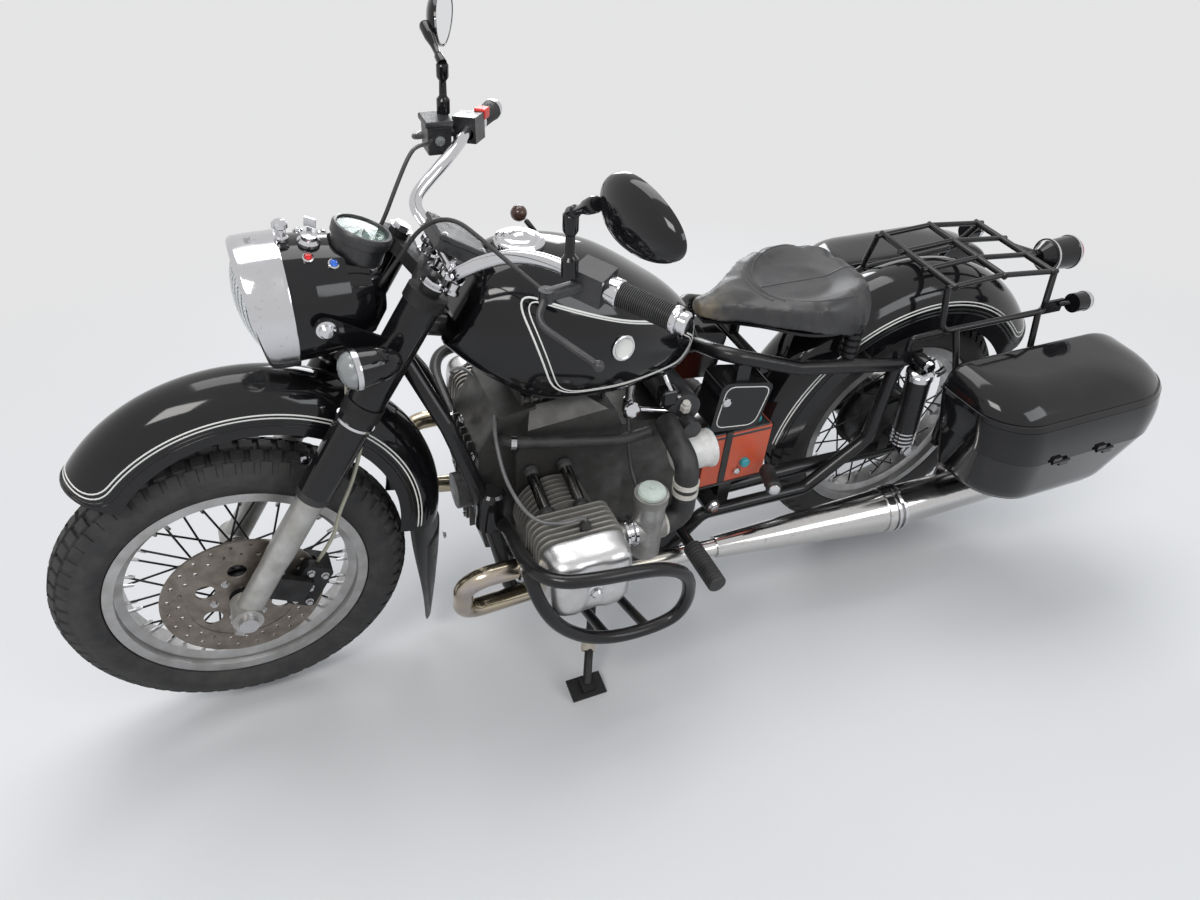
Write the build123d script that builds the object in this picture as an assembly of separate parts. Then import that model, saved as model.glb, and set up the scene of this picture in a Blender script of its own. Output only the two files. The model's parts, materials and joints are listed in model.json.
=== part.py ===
from build123d import *
from math import cos, sin, radians
import os

# All sizes are in millimetres and degrees. The motorcycle is drawn upright: X points forward,
# Y to the rider's left and Z up, and the origin is under the rear axle on the wheels' midplane.
# At the end every piece leans to the left, onto the side stand.

# Stance
WHEELBASE = 1500
LEAN = 12.0
RAKE = 31.5
FIT = 0.3

# Wheels, tyres and rims
TYRE_R = 315
TYRE_HALF_W = 52
RIM_R = 232
RIM_HALF_W = 38
RIM_WALL = 4
RIM_SEAT_R = 218
RIM_WELL_R = 198
RIM_WELL_HALF_W = 14
SPOKES = 36
SPOKE_R = 2
AXLE_R = 10

# Front hub, brake disc and caliper
HUB_R = 30
HUB_FLANGE_R = 48
HUB_FLANGE_Y = 30
FRONT_HUB_END_Y = 57
DISC_R = 143
DISC_INNER_R = 98
DISC_T = 5
DISC_HOLES = 24

# Rear hub with its drum
DRUM_R = 88
DRUM_HALF_W = 44
DRUM_FLANGE_R = 96

# Telescopic fork, measured along its legs from the front axle
LEG_Y = 98
SLIDER_R = 25
SLIDER_TOP = 300
COVER_R = 31
STEM_OFFSET = 50
STEM_R = 14
YOKE_LOW = 470
YOKE_LOW_T = 26
YOKE_TOP = 690
YOKE_TOP_T = 22
STEER_LIMIT = 32

# Headlamp
LAMP_X = 1391
LAMP_Z = 888
LAMP_R = 105
LAMP_RIM_L = 62

# Front mudguard: a circle above and behind the front axle
FRONT_GUARD_X = 1443
FRONT_GUARD_Z = 438
FRONT_GUARD_R = 333
FRONT_GUARD_HALF_W = 62
FRONT_GUARD_FROM = 34
FRONT_GUARD_TO = 192

# Rear mudguard
REAR_GUARD_X = 20
REAR_GUARD_Z = 330
REAR_GUARD_R = 422
REAR_GUARD_HALF_W = 84
REAR_GUARD_FROM = 9
REAR_GUARD_TO = 146
GUARD_T = 3

# Frame tubes
TUBE_R = 15
BACKBONE_R = 20
HEAD_TUBE_R = 30
RAIL_Y = 125
RAIL_Z = 200
LOOP_Y = 133
PIVOT_HALF_W = 108
PEG_R = 12
CROSS_R = 12
BATTERY_LOW = 366

# Spring legs
SHOCK_Y = 158
SHOCK_TOP = (99, SHOCK_Y, 612)
SHOCK_LOW = (76, SHOCK_Y, 378)
SHOCK_EYE_R = 15

# Engine: a flat twin with its crankshaft along X
CRANK_Z = 420
CYLINDER_X = 920
BARREL_R = 52
FIN_R = 74
BARREL_FINS = 7
BARREL_FROM_Y = 106
BARREL_TO_Y = 205
HEAD_TO_Y = 285
COVER_TO_Y = 338
HEAD_HALF_L = 82
HEAD_HALF_H = 74
CASE_HALF_W = 106

# Exhaust
HEADER_R = 19
SILENCER_R = 50
SILENCER_TAIL_R = 44
SILENCER_FROM = Vector(560, 192, 246)
SILENCER_BAND = Vector(143, 226, 254)
SILENCER_END = Vector(-200, 232, 262)

# Luggage rack
RACK_REAR_X = -230
RACK_REAR_Z = 754
PANNIER_RAIL_Z = 400

# Panniers
BAG_FRONT_X = 66
BAG_REAR_X = -440
BAG_INNER_Y = 205
BAG_OUTER_Y = 410
BAG_LOW_Z = 345
BAG_SEAM_Z = 490
BAG_TOP_Z = 640
BAG_WALL = 4
LID_GAP = 0.5
LID_LIMIT = 75
LID_AXIS_Y = BAG_OUTER_Y + 4
LID_AXIS_Z = BAG_SEAM_Z
HINGE_R = 3.5

# Side stand: its pivot, and its foot on the ground
STAND_PIVOT = (828, 162, 158)
STAND_FOOT_X = 900
STAND_FOOT_Y = 312
STAND_R = 9
STAND_KNUCKLE_R = 13
STAND_KNUCKLE_H = 20
STAND_PIN_R = 6
STAND_PLATE_T = 5
STAND_FOLD = 105

# Handlebar, levers and mirrors; the clamps are placed along the fork
BAR_R = 11
BAR_BEND_R = 42
BAR_CLAMP_X = -46
BAR_CLAMP_Y = 63
BAR_CLAMP_Z = 742
BAR_RISE = (999, 174, 1007)
BAR_BEND = (934, 303, 1014)
BAR_END = (858, 405, 1002)
GRIP_L = 112
GRIP_R = 17
LEVER_PIVOT = (1012, 292, 1006)
LEVER_KNEE = (1040, 330, 990)
LEVER_TIP = (986, 420, 968)
CONTROL_HALF_H = 23
MIRROR_ELBOW = (985, 300, 1128)
MIRROR_CENTRE = (950, 420, 1172)
MIRROR_HALF_L = 66
MIRROR_HALF_H = 46

AXLE_FRONT = (WHEELBASE, 0, TYRE_R)
AXLE_REAR = (0, 0, TYRE_R)

# Frame of the fork: Z runs up along the legs, X square to them and forward
FORK = Plane(
    origin=AXLE_FRONT,
    x_dir=(cos(radians(RAKE)), 0, sin(radians(RAKE))),
    z_dir=(-sin(radians(RAKE)), 0, cos(radians(RAKE))),
)


def fork_point(x, y, z):
    """Place of a point given along the fork, in the motorcycle's own frame."""
    return FORK.from_local_coords(Vector(x, y, z))


# Ground under the leaning motorcycle: the tyres' round crowns touch it beside their middle
GROUND_DROP = TYRE_HALF_W * (1 - cos(radians(LEAN)))
UP = Vector(0, sin(radians(LEAN)), cos(radians(LEAN)))


def on_ground(x, y):
    """The point of the ground below or above a place of the upright motorcycle."""
    return Vector(x, y, (y * sin(radians(LEAN)) - GROUND_DROP) / cos(radians(LEAN)))


BAR_TUBE_R = 13
CRASH_LOW_Z = 265
TANK_CUT_X = -100
CAP_R = 36
CAP_PLACE = Pos(947, 0, 924) * Rot(0, -3, 0)
SPEEDO_R = 47
SPEEDO_PLACE = Pos(1217, 0, LAMP_Z + LAMP_R - 44) * Rot(0, -22, 0)

BACKBONE_FRONT = fork_point(-STEM_OFFSET, 0, 610)
BACKBONE_REAR = Vector(575, 0, 655)

SADDLE_LOW = 718

STAND_FOOT = on_ground(STAND_FOOT_X, STAND_FOOT_Y)
STAND_LEG = STAND_FOOT + UP * (STAND_R + 3) - Vector(*STAND_PIVOT)

# Frame of the side stand: Z is its pin, square to the leg both down and folded back along -X
STAND = Plane(
    origin=STAND_PIVOT,
    x_dir=(1, 0, 0),
    z_dir=STAND_LEG.cross(Vector(-1, 0, 0)),
)


def both_sides(shape):
    """The piece and its mirror image on the other side."""
    return [shape, mirror(shape, about=Plane.XZ)]


def fuse(shapes):
    """One solid made from pieces that overlap or share a face."""
    return shapes[0].fuse(*shapes[1:])


def rod(start, end, radius):
    """A straight round bar between two points."""
    start, end = Vector(*start), Vector(*end)
    return Solid.make_cylinder(radius, (end - start).length, Plane(start, z_dir=end - start))


def post(x, y, low, high, radius):
    """An upright round bar."""
    return Pos(x, y, low) * Cylinder(radius, high - low, align=(Align.CENTER, Align.CENTER, Align.MIN))


def drum(x, z, from_y, to_y, radius):
    """A round bar across the motorcycle."""
    return rod((x, from_y, z), (x, to_y, z), radius)


def drum_x(from_x, to_x, y, z, radius):
    """A round bar along the motorcycle."""
    return rod((from_x, y, z), (to_x, y, z), radius)


def tube(points, radius, bend_r):
    """A round bar along straight runs joined by tangent arcs."""
    path = FilletPolyline(*points, radius=bend_r)
    return sweep(Plane(path @ 0, z_dir=path % 0) * Circle(radius), path=path)


def turned(profile, axis=Axis.Y):
    """A ring turned about the wheel's axis from points (y, r)."""
    return revolve(Plane.YZ * make_face(Polyline(*profile, close=True)), axis=axis)


def ring(outer_r, inner_r, from_y, to_y):
    """A flat ring about the wheel's axis."""
    return turned([(from_y, inner_r), (from_y, outer_r), (to_y, outer_r), (to_y, inner_r)])


def block(x, y, z):
    """A box between two values on each axis."""
    size = [axis[1] - axis[0] for axis in (x, y, z)]
    return Pos(x[0], y[0], z[0]) * Box(*size, align=(Align.MIN, Align.MIN, Align.MIN))


def side_profile(points, from_y, to_y):
    """A plate or block cut to a side outline (x, z) and as wide as from_y to to_y."""
    face = make_face(Polyline(*[(x, from_y, z) for x, z in points], close=True))
    return extrude(face, amount=to_y - from_y, dir=(0, 1, 0))


def make_tyre():
    bead = RIM_HALF_W - RIM_WALL - FIT
    shoulder = TYRE_R - TYRE_HALF_W
    seat = RIM_SEAT_R + FIT
    flange = RIM_R + 2
    outline = [
        Line((-bead, seat), (bead, seat)),
        Line((bead, seat), (bead, flange)),
        ThreePointArc((bead, flange), (TYRE_HALF_W - 5, flange + 11), (TYRE_HALF_W, shoulder)),
        ThreePointArc((TYRE_HALF_W, shoulder), (0, TYRE_R), (-TYRE_HALF_W, shoulder)),
        ThreePointArc((-TYRE_HALF_W, shoulder), (5 - TYRE_HALF_W, flange + 11), (-bead, flange)),
        Line((-bead, flange), (-bead, seat)),
    ]
    return revolve(Plane.YZ * make_face(outline), axis=Axis.Y)


def make_rim():
    inner = RIM_HALF_W - RIM_WALL
    ramp = RIM_WELL_HALF_W + 6
    half = [
        (inner, RIM_SEAT_R),
        (inner, RIM_R),
        (RIM_HALF_W, RIM_R),
        (RIM_HALF_W, RIM_SEAT_R - RIM_WALL),
        (ramp + 2, RIM_SEAT_R - RIM_WALL),
        (RIM_WELL_HALF_W + 2, RIM_WELL_R),
    ]
    other = [(-y, r) for y, r in reversed(half)]
    well = [(-RIM_WELL_HALF_W, RIM_WELL_R + RIM_WALL), (RIM_WELL_HALF_W, RIM_WELL_R + RIM_WALL)]
    return turned(half + other + [(-ramp, RIM_SEAT_R)] + well + [(ramp, RIM_SEAT_R)])


def make_spokes(flange_r, flange_y):
    """Crossed spokes from the hub's two flanges to the rim's well."""
    end_r = RIM_WELL_R - 1.1
    spokes = []
    for i in range(SPOKES):
        side = 1 if i % 2 else -1
        cross = 1 if (i // 2) % 2 else -1
        at_rim = radians(360 / SPOKES * i)
        at_hub = at_rim + radians(cross * 52)
        start = (flange_r * sin(at_hub), side * flange_y, flange_r * cos(at_hub))
        end = (end_r * sin(at_rim), side * RIM_WELL_HALF_W * 0.4, end_r * cos(at_rim))
        spokes.append(rod(start, end, SPOKE_R))
    return spokes


def make_front_hub():
    bore = AXLE_R + FIT
    profile = [
        (-FRONT_HUB_END_Y, bore),
        (-FRONT_HUB_END_Y, 24),
        (-HUB_FLANGE_Y - 3, 24),
        (-HUB_FLANGE_Y - 3, HUB_FLANGE_R),
        (3 - HUB_FLANGE_Y, HUB_FLANGE_R),
        (3 - HUB_FLANGE_Y, HUB_R),
        (HUB_FLANGE_Y - 3, HUB_R),
        (HUB_FLANGE_Y - 3, HUB_FLANGE_R),
        (HUB_FLANGE_Y + 3, HUB_FLANGE_R),
        (HUB_FLANGE_Y + 3, 42),
        (FRONT_HUB_END_Y, 42),
        (FRONT_HUB_END_Y, bore),
    ]
    return fuse([turned(profile)] + make_spokes(HUB_FLANGE_R - 4, HUB_FLANGE_Y))


def make_brake_disc():
    face = FRONT_HUB_END_Y
    disc = ring(DISC_R, DISC_INNER_R, face, face + DISC_T)
    carrier = ring(DISC_INNER_R + 1, 26, face, face + DISC_T - 1)
    windows = []
    for i in range(6):
        window = Pos(0, face + DISC_T / 2, 70) * Rot(90, 0, 0) * Cylinder(17, 3 * DISC_T)
        windows.append(Rot(0, 60 * i, 0) * window)
    holes = []
    for i in range(DISC_HOLES):
        for hole_r, shift in ((DISC_R - 13, 0), (DISC_INNER_R + 13, 0.5)):
            hole = Pos(0, face + DISC_T / 2, hole_r) * Rot(90, 0, 0) * Cylinder(4, 3 * DISC_T)
            holes.append(Rot(0, 360 / DISC_HOLES * (i + shift), 0) * hole)
    return (disc + carrier).cut(*windows, *holes)


def make_rear_hub():
    bore = AXLE_R + FIT
    flange = DRUM_HALF_W - 8
    profile = [
        (-DRUM_HALF_W - 8, bore),
        (-DRUM_HALF_W - 8, 40),
        (-DRUM_HALF_W, 60),
        (-DRUM_HALF_W, DRUM_R),
        (-flange - 3, DRUM_R),
        (-flange - 3, DRUM_FLANGE_R),
        (3 - flange, DRUM_FLANGE_R),
        (3 - flange, DRUM_R - 6),
        (flange - 3, DRUM_R - 6),
        (flange - 3, DRUM_FLANGE_R),
        (flange + 3, DRUM_FLANGE_R),
        (flange + 3, DRUM_R),
        (DRUM_HALF_W, DRUM_R),
        (DRUM_HALF_W, bore),
    ]
    return fuse([turned(profile)] + make_spokes(DRUM_FLANGE_R - 4, flange))


def make_front_axle():
    """Axle through both fork legs, with a spacer on each side of the hub."""
    inner = LEG_Y - SLIDER_R
    spacers = []
    for side in (1, -1):
        spacers.append(ring(16, AXLE_R, *sorted((side * (FRONT_HUB_END_Y + DISC_T + 1), side * inner))))
    end = LEG_Y + SLIDER_R + 12
    axle = rod((0, -end, 0), (0, end, 0), AXLE_R)
    nuts = [ring(17, AXLE_R, end - 12, end), ring(17, AXLE_R, -end, 12 - end)]
    return Pos(*AXLE_FRONT) * fuse([axle] + spacers + nuts)


def make_fork_sliders():
    """Lower legs: a tapered tube with a lug round the axle."""
    profile = make_face(
        Polyline((0, -24), (19, -24), (23, 10), (23, 120), (SLIDER_R, 150), (SLIDER_R, SLIDER_TOP - 14),
                 (SLIDER_R + 3, SLIDER_TOP - 12), (SLIDER_R + 3, SLIDER_TOP), (0, SLIDER_TOP), close=True)
    )
    leg = revolve(Plane.XZ * profile, axis=Axis.Z)
    lug = Rot(90, 0, 0) * Cylinder(27, 2 * SLIDER_R)
    pinch = Pos(0, 0, -30) * Box(18, 2 * SLIDER_R - 8, 22)
    bore = Rot(90, 0, 0) * Cylinder(AXLE_R + FIT, 4 * SLIDER_R)
    slider = Pos(0, LEG_Y, 0) * ((leg + lug + pinch) - bore)
    return [FORK * piece for piece in both_sides(slider)]


def make_fork_covers():
    """Black covers over the upper legs, above and below the lower yoke, with the lamp's ears."""
    lamp_side = LAMP_R - 8
    ear_y = LEG_Y + 9
    ear_t = 6
    low = post(0, LEG_Y, SLIDER_TOP, YOKE_LOW, COVER_R)
    top = post(0, LEG_Y, YOKE_LOW + YOKE_LOW_T, YOKE_TOP, COVER_R)
    ear = block((10, 122), (ear_y, ear_y + ear_t), (586, 620))
    ear_end = drum(122, 603, ear_y, ear_y + ear_t, 17)
    boss = drum(122, 603, lamp_side + 1, ear_y + 1, 9)
    lug = drum(40, 588, LEG_Y, LEG_Y + COVER_R + 8, 8)
    pieces = [low, fuse([top, ear, ear_end, boss, lug])]
    return [FORK * piece for half in pieces for piece in both_sides(half)]


def make_fork_yokes():
    """Lower and upper yokes on the steering stem, and the nuts on top of the legs."""
    pieces = [post(-STEM_OFFSET, 0, YOKE_LOW, YOKE_TOP + YOKE_TOP_T + 14, STEM_R)]
    for low, high in ((YOKE_LOW, YOKE_LOW + YOKE_LOW_T), (YOKE_TOP, YOKE_TOP + YOKE_TOP_T)):
        outline = make_face(
            Polyline((-STEM_OFFSET - 26, 20), (-STEM_OFFSET - 26, -20), (-18, -LEG_Y - 8), (22, -LEG_Y),
                     (-10, 0), (22, LEG_Y), (-18, LEG_Y + 8), close=True)
        )
        pieces.append(Pos(0, 0, low) * extrude(outline, amount=high - low))
        pieces += both_sides(post(0, LEG_Y, low, high, COVER_R + 3))
    pieces += both_sides(post(0, LEG_Y, YOKE_TOP + YOKE_TOP_T, YOKE_TOP + YOKE_TOP_T + 12, 17))
    pieces += both_sides(post(BAR_CLAMP_X, BAR_CLAMP_Y, YOKE_TOP + YOKE_TOP_T, BAR_CLAMP_Z - BAR_R - FIT, 13))
    return FORK * fuse(pieces)


def make_caliper():
    """Brake caliper astride the disc, on a lug behind the left leg."""
    disc_y = FRONT_HUB_END_Y + DISC_T / 2
    body = block((-122, -66), (disc_y - 22, disc_y + 26), (20, 118))
    body = fillet(body.edges().filter_by(Axis.Y), 10)
    slot = drum(0, 0, disc_y - DISC_T / 2 - 3, disc_y + DISC_T / 2 + 3, DISC_R + 4)
    lug = block((-90, 2 - SLIDER_R), (LEG_Y - 12, LEG_Y + 2), (40, 92))
    link = block((-90, -70), (disc_y + 20, LEG_Y - 8), (40, 92))
    return FORK * (fuse([body, link, lug]) - slot - post(0, LEG_Y, -40, 200, SLIDER_R - 2 + FIT))


def guard_section(crown_r, half_w, skirt_r, roll):
    """Half-round section of a mudguard with its flat skirts, as points round the wheel (y, r)."""
    outer = [
        ThreePointArc((-half_w, crown_r - half_w * 0.8), (0, crown_r), (half_w, crown_r - half_w * 0.8)),
        Line((half_w, crown_r - half_w * 0.8), (half_w + roll, skirt_r)),
        Line((half_w + roll, skirt_r), (half_w + roll - GUARD_T, skirt_r)),
        Line((half_w + roll - GUARD_T, skirt_r), (half_w - GUARD_T, crown_r - half_w * 0.8)),
        ThreePointArc(
            (half_w - GUARD_T, crown_r - half_w * 0.8),
            (0, crown_r - GUARD_T),
            (GUARD_T - half_w, crown_r - half_w * 0.8),
        ),
        Line((GUARD_T - half_w, crown_r - half_w * 0.8), (GUARD_T - half_w - roll, skirt_r)),
        Line((GUARD_T - half_w - roll, skirt_r), (-half_w - roll, skirt_r)),
        Line((-half_w - roll, skirt_r), (-half_w, crown_r - half_w * 0.8)),
    ]
    return Plane.YZ * make_face(outer)


def make_guard(x, z, crown_r, half_w, skirt_r, start, end):
    """A mudguard swept round its own centre, from one angle above the X axis to another."""
    section = guard_section(crown_r, half_w, skirt_r, 1)
    swept = revolve(Rot(0, 90 - start, 0) * section, axis=-Axis.Y, revolution_arc=end - start)
    return Pos(x, 0, z) * swept


def make_front_guard():
    guard = make_guard(
        FRONT_GUARD_X, FRONT_GUARD_Z, FRONT_GUARD_R, FRONT_GUARD_HALF_W,
        FRONT_GUARD_R - 88, FRONT_GUARD_FROM, FRONT_GUARD_TO,
    )
    boss = FORK * drum(0, 380, FRONT_GUARD_HALF_W - 1, LEG_Y - COVER_R - FIT, 12)
    return fuse([guard] + both_sides(boss))


def make_mud_flap():
    """Pointed rubber flap below the rear edge of the front mudguard."""
    half_w = FRONT_GUARD_HALF_W + 2
    outline = make_face(
        Polyline((-32, 378), (32, 378), (32, 364), (half_w, 356), (half_w, 130), (0, 40),
                 (-half_w, 130), (-half_w, 356), (-32, 364), close=True)
    )
    flap = Plane(origin=(1129.4, 0, 0), x_dir=(0, 1, 0), z_dir=(1, 0, 0)) * extrude(outline, amount=4)
    return flap


def make_headlamp():
    """Long lamp shell, turned about its own axis, with a seat for the speedometer."""
    back = LAMP_X - LAMP_RIM_L
    outline = [(back, 0), (back, LAMP_R - 6), (1290, LAMP_R - 8), (1240, LAMP_R - 16),
               (1205, LAMP_R - 34), (1183, LAMP_R - 62), (1176, 0)]
    face = make_face(Polyline(*[(x, 0, r) for x, r in outline], close=True))
    shell = Pos(0, 0, LAMP_Z) * revolve(face, axis=Axis.X)
    return shell - SPEEDO_PLACE * post(0, 0, 0, 90, SPEEDO_R + FIT)


def make_lamp_rim():
    """Deep chrome rim of the headlamp."""
    back = LAMP_X - LAMP_RIM_L
    outline = [(back, LAMP_R - 9), (back, LAMP_R - 2), (back + 30, LAMP_R), (LAMP_X - 6, LAMP_R - 2),
               (LAMP_X, LAMP_R - 8), (LAMP_X - 4, LAMP_R - 14), (LAMP_X - 12, LAMP_R - 14)]
    face = make_face(Polyline(*[(x, 0, r) for x, r in outline], close=True))
    return Pos(0, 0, LAMP_Z) * revolve(face, axis=Axis.X)


def make_lamp_glass():
    """Domed headlamp lens with its reflector behind."""
    back = LAMP_X - LAMP_RIM_L
    edge = LAMP_R - 14.3
    rise = 15
    dome_r = (edge ** 2 + rise ** 2) / (2 * rise)
    front = LAMP_X - 6
    half = edge / 2
    middle = front + rise - dome_r + (dome_r ** 2 - half ** 2) ** 0.5
    face = make_face([
        Line((back, 0, 0), (back, 0, edge - 30)),
        Line((back, 0, edge - 30), (front - 8, 0, edge)),
        Line((front - 8, 0, edge), (front, 0, edge)),
        ThreePointArc((front, 0, edge), (middle, 0, half), (front + rise, 0, 0)),
        Line((front + rise, 0, 0), (back, 0, 0)),
    ])
    return Pos(0, 0, LAMP_Z) * revolve(face, axis=Axis.X)


def make_speedometer():
    """Round instrument let into the top of the lamp shell, leaning back to the rider."""
    return SPEEDO_PLACE * fuse([post(0, 0, 0, 34, SPEEDO_R - 4), post(0, 0, 28, 38, SPEEDO_R)])


def bar_path():
    """Centre line of the handlebar, from the left grip's end to the right one's."""
    left = [BAR_END, BAR_BEND, BAR_RISE, tuple(fork_point(BAR_CLAMP_X, BAR_CLAMP_Y, BAR_CLAMP_Z))]
    return left + [(x, -y, z) for x, y, z in reversed(left)]


def make_handlebar():
    return tube(bar_path(), BAR_R, BAR_BEND_R)


def make_grips():
    outer, inner = Vector(*BAR_END), Vector(*BAR_BEND)
    along = (inner - outer).normalized()
    grip = rod(outer - along * 8, outer + along * GRIP_L, GRIP_R) - rod(outer, inner, BAR_R)
    return both_sides(grip)


def control_place():
    """Frame of the switch block on the left of the handlebar: X runs along the bar, Z up."""
    outer, inner = Vector(*BAR_END), Vector(*BAR_BEND)
    along = (inner - outer).normalized()
    across = Vector(1, 0, 0).cross(along)
    return Plane(outer + along * (GRIP_L + 30), x_dir=along, z_dir=across if across.Z > 0 else -across)


def make_hand_controls():
    """Switch block, lever perch and lever on each side of the handlebar."""
    place = control_place()
    box = place * Box(50, 44, 2 * CONTROL_HALF_H)
    perch = rod(place.origin, LEVER_PIVOT, 10)
    lever = tube([LEVER_PIVOT, LEVER_KNEE, LEVER_TIP], 5, 30)
    ball = Pos(*LEVER_TIP) * Sphere(8)
    pivot = Pos(*LEVER_PIVOT) * Cylinder(11, 18)
    unit = fuse([box, perch, pivot, lever, ball]) - tube(bar_path(), BAR_R + 0.1, BAR_BEND_R)
    return both_sides(unit)


def make_mirrors():
    """Oval mirror on a jointed stem that stands on the switch block."""
    place = control_place()
    foot = place.origin + place.z_dir * (CONTROL_HALF_H + FIT)
    stem = rod(foot, MIRROR_ELBOW, 6)
    arm = rod(MIRROR_ELBOW, MIRROR_CENTRE, 6)
    elbow = Pos(*MIRROR_ELBOW) * Sphere(11)
    base = rod(foot, foot + place.z_dir * 20, 11)
    face = Plane(Vector(*MIRROR_CENTRE), x_dir=(-0.25, 1, 0.12), z_dir=(1, 0.25, 0.25))
    shell = face * extrude(Ellipse(MIRROR_HALF_L, MIRROR_HALF_H), amount=24, taper=38)
    below = place * Pos(0, 0, CONTROL_HALF_H - 40 + FIT) * Box(100, 100, 80)
    return both_sides(fuse([base, stem, elbow, arm, shell]) - below)


def make_front_indicators():
    stalk = drum(40, 588, LEG_Y + COVER_R + 8, 150, 7)
    cup = drum(40, 588, 148, 168, 24)
    lens = drum(40, 588, 168, 186, 22)
    return [FORK * piece for piece in both_sides(fuse([stalk, cup, lens]))]


def down_tube(radius):
    """Down tube, lower rail and rear loop of one side."""
    return tube(
        [fork_point(-STEM_OFFSET, 18, 560), (1106, 88, 640), (1047, 108, 450), (998, RAIL_Y, RAIL_Z),
         (640, RAIL_Y, RAIL_Z), (560, RAIL_Y, 288), (300, RAIL_Y + 6, 288), (160, LOOP_Y, 400),
         (146, LOOP_Y, 600)],
        radius, 40,
    )


def make_frame():
    """Duplex cradle frame with its backbone, steering head, rear loops and seat rails."""
    head = FORK * (
        post(-STEM_OFFSET, 0, YOKE_LOW + YOKE_LOW_T + 4, YOKE_TOP - 4, HEAD_TUBE_R)
    )
    bore = FORK * post(-STEM_OFFSET, 0, 0, 900, STEM_R + FIT)
    backbone = rod(BACKBONE_FRONT, BACKBONE_REAR, BACKBONE_R)
    rail = tube([BACKBONE_REAR, (562, 105, 692), (400, RAIL_Y, 640), (140, LOOP_Y, 598)], TUBE_R, 45)
    crosses = [
        drum(830, RAIL_Z, -RAIL_Y, RAIL_Y, CROSS_R),
        drum(480, 655, -RAIL_Y, RAIL_Y, 11),
    ]
    sides = [
        down_tube(TUBE_R),
        rail,
        # pivot of the rear fork
        drum(545, 315, PIVOT_HALF_W + FIT, 140, 20),
        # top mount of the spring leg
        block((84, 150), (118, 134), (590, 626)),
        drum(SHOCK_TOP[0], SHOCK_TOP[2], 126, SHOCK_Y + 18, 8),
        # rear mudguard's boss
        drum(200, 606, REAR_GUARD_HALF_W + 0.9, 124, 8),
        # foot peg with its bracket and rubber
        drum(640, 305, RAIL_Y - 20, 300, PEG_R),
        block((615, 665), (RAIL_Y - 6, RAIL_Y + 6), (RAIL_Z, 318)),
        drum(640, 305, 222, 330, 17),
        # tab over the tool box
        side_profile([(510, 629.2), (540, 634.5), (540, 672), (510, 672)], 108, 122),
    ]
    lug_from = STAND_KNUCKLE_H / 2 + FIT
    stand_lug = STAND * fuse([
        block((-15, 15), (-52, 13), (lug_from, lug_from + 9)),
        post(0, 0, -STAND_KNUCKLE_H / 2 - 4, lug_from + 4, STAND_PIN_R),
        post(0, 0, -STAND_KNUCKLE_H / 2 - 5, -STAND_KNUCKLE_H / 2 - FIT, 11),
    ])
    tray = [block((420, 582), (56, 124), (BATTERY_LOW - 6, BATTERY_LOW)), block((500, 530), (110, 124), (280, 362))]
    pieces = [head, backbone, stand_lug] + crosses + tray
    for piece in sides:
        pieces += both_sides(piece)
    return fuse(pieces) - bore


def make_swingarm():
    """Rear fork: the drive shaft's housing on the right and a round arm on the left."""
    left = tube([(545, 90, 315), (300, 92, 318), (-5, 98, TYRE_R)], 17, 60)
    right = tube([(545, -83, 315), (300, -88, 318), (-5, -98, TYRE_R)], 24, 60)
    cross = drum(545, 315, -PIVOT_HALF_W, PIVOT_HALF_W, 20)
    final_drive = drum(0, TYRE_R, -134, -DRUM_HALF_W - 10, 62)
    left_lug = drum(0, TYRE_R, 80, 116, 24)
    x, z = SHOCK_LOW[0], SHOCK_LOW[2]
    lugs = [block((x - 15, x + 15), (92, 110), (318, z + 10)), drum(x, z, 104, SHOCK_Y + 18, 8)]
    bore = drum(0, TYRE_R, -200, 200, AXLE_R + FIT)
    pieces = [left, right, cross, final_drive, left_lug]
    for lug in lugs:
        pieces += both_sides(lug)
    return fuse(pieces) - bore


def make_rear_axle():
    end = 130
    axle = drum(0, TYRE_R, -140, end, AXLE_R)
    nuts = [Pos(*AXLE_REAR) * ring(17, AXLE_R, 116, end)]
    spacer = [Pos(*AXLE_REAR) * ring(16, AXLE_R, DRUM_HALF_W + 1, 80)]
    return fuse([axle] + nuts + spacer)


def make_engine_case():
    """Crankcase with its narrower front cover, gearbox and finned sump."""
    case = side_profile(
        [(985, 290), (985, 560), (950, 640), (850, 648), (785, 610), (760, 540), (760, 262), (970, 262)],
        -CASE_HALF_W, CASE_HALF_W,
    )
    case = chamfer(case.edges().filter_by(Axis.Y, reverse=True).group_by(Axis.Z)[-1], 30)
    front = side_profile(
        [(980, 290), (1040, 305), (1056, 400), (1050, 560), (1010, 632), (940, 642), (940, 290)], -82, 82
    )
    gearbox = side_profile(
        [(762, 560), (690, 555.7), (622, 555.7), (592, 450), (584, 330), (620, 262), (762, 262)], -88, 88
    )
    floor = RAIL_Z + CROSS_R + FIT
    sump = side_profile([(990, 264), (980, floor), (790, floor), (780, 264)], -84, 84)
    return fuse([case, front, gearbox, sump])


def make_barrels():
    """Finned barrels, each with its two pushrod tubes above."""
    z = CRANK_Z
    core = drum(CYLINDER_X, z, CASE_HALF_W, BARREL_TO_Y, BARREL_R)
    fins = []
    pitch = (BARREL_TO_Y - 12 - BARREL_FROM_Y) / BARREL_FINS
    for i in range(BARREL_FINS):
        y = BARREL_FROM_Y + 8 + pitch * i
        fins.append(drum(CYLINDER_X, z, y, y + 3, FIN_R))
    tubes = []
    for x in (CYLINDER_X - 30, CYLINDER_X + 38):
        tubes.append(rod((x, CASE_HALF_W, z + 92), (x, BARREL_TO_Y, z + 62), 11))
    barrel = fuse([core] + fins + tubes)
    barrel = barrel - block((0, 2000), (BARREL_TO_Y, 900), (0, 900))
    return both_sides(barrel - block((0, 2000), (0, CASE_HALF_W), (0, 900)))


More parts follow.
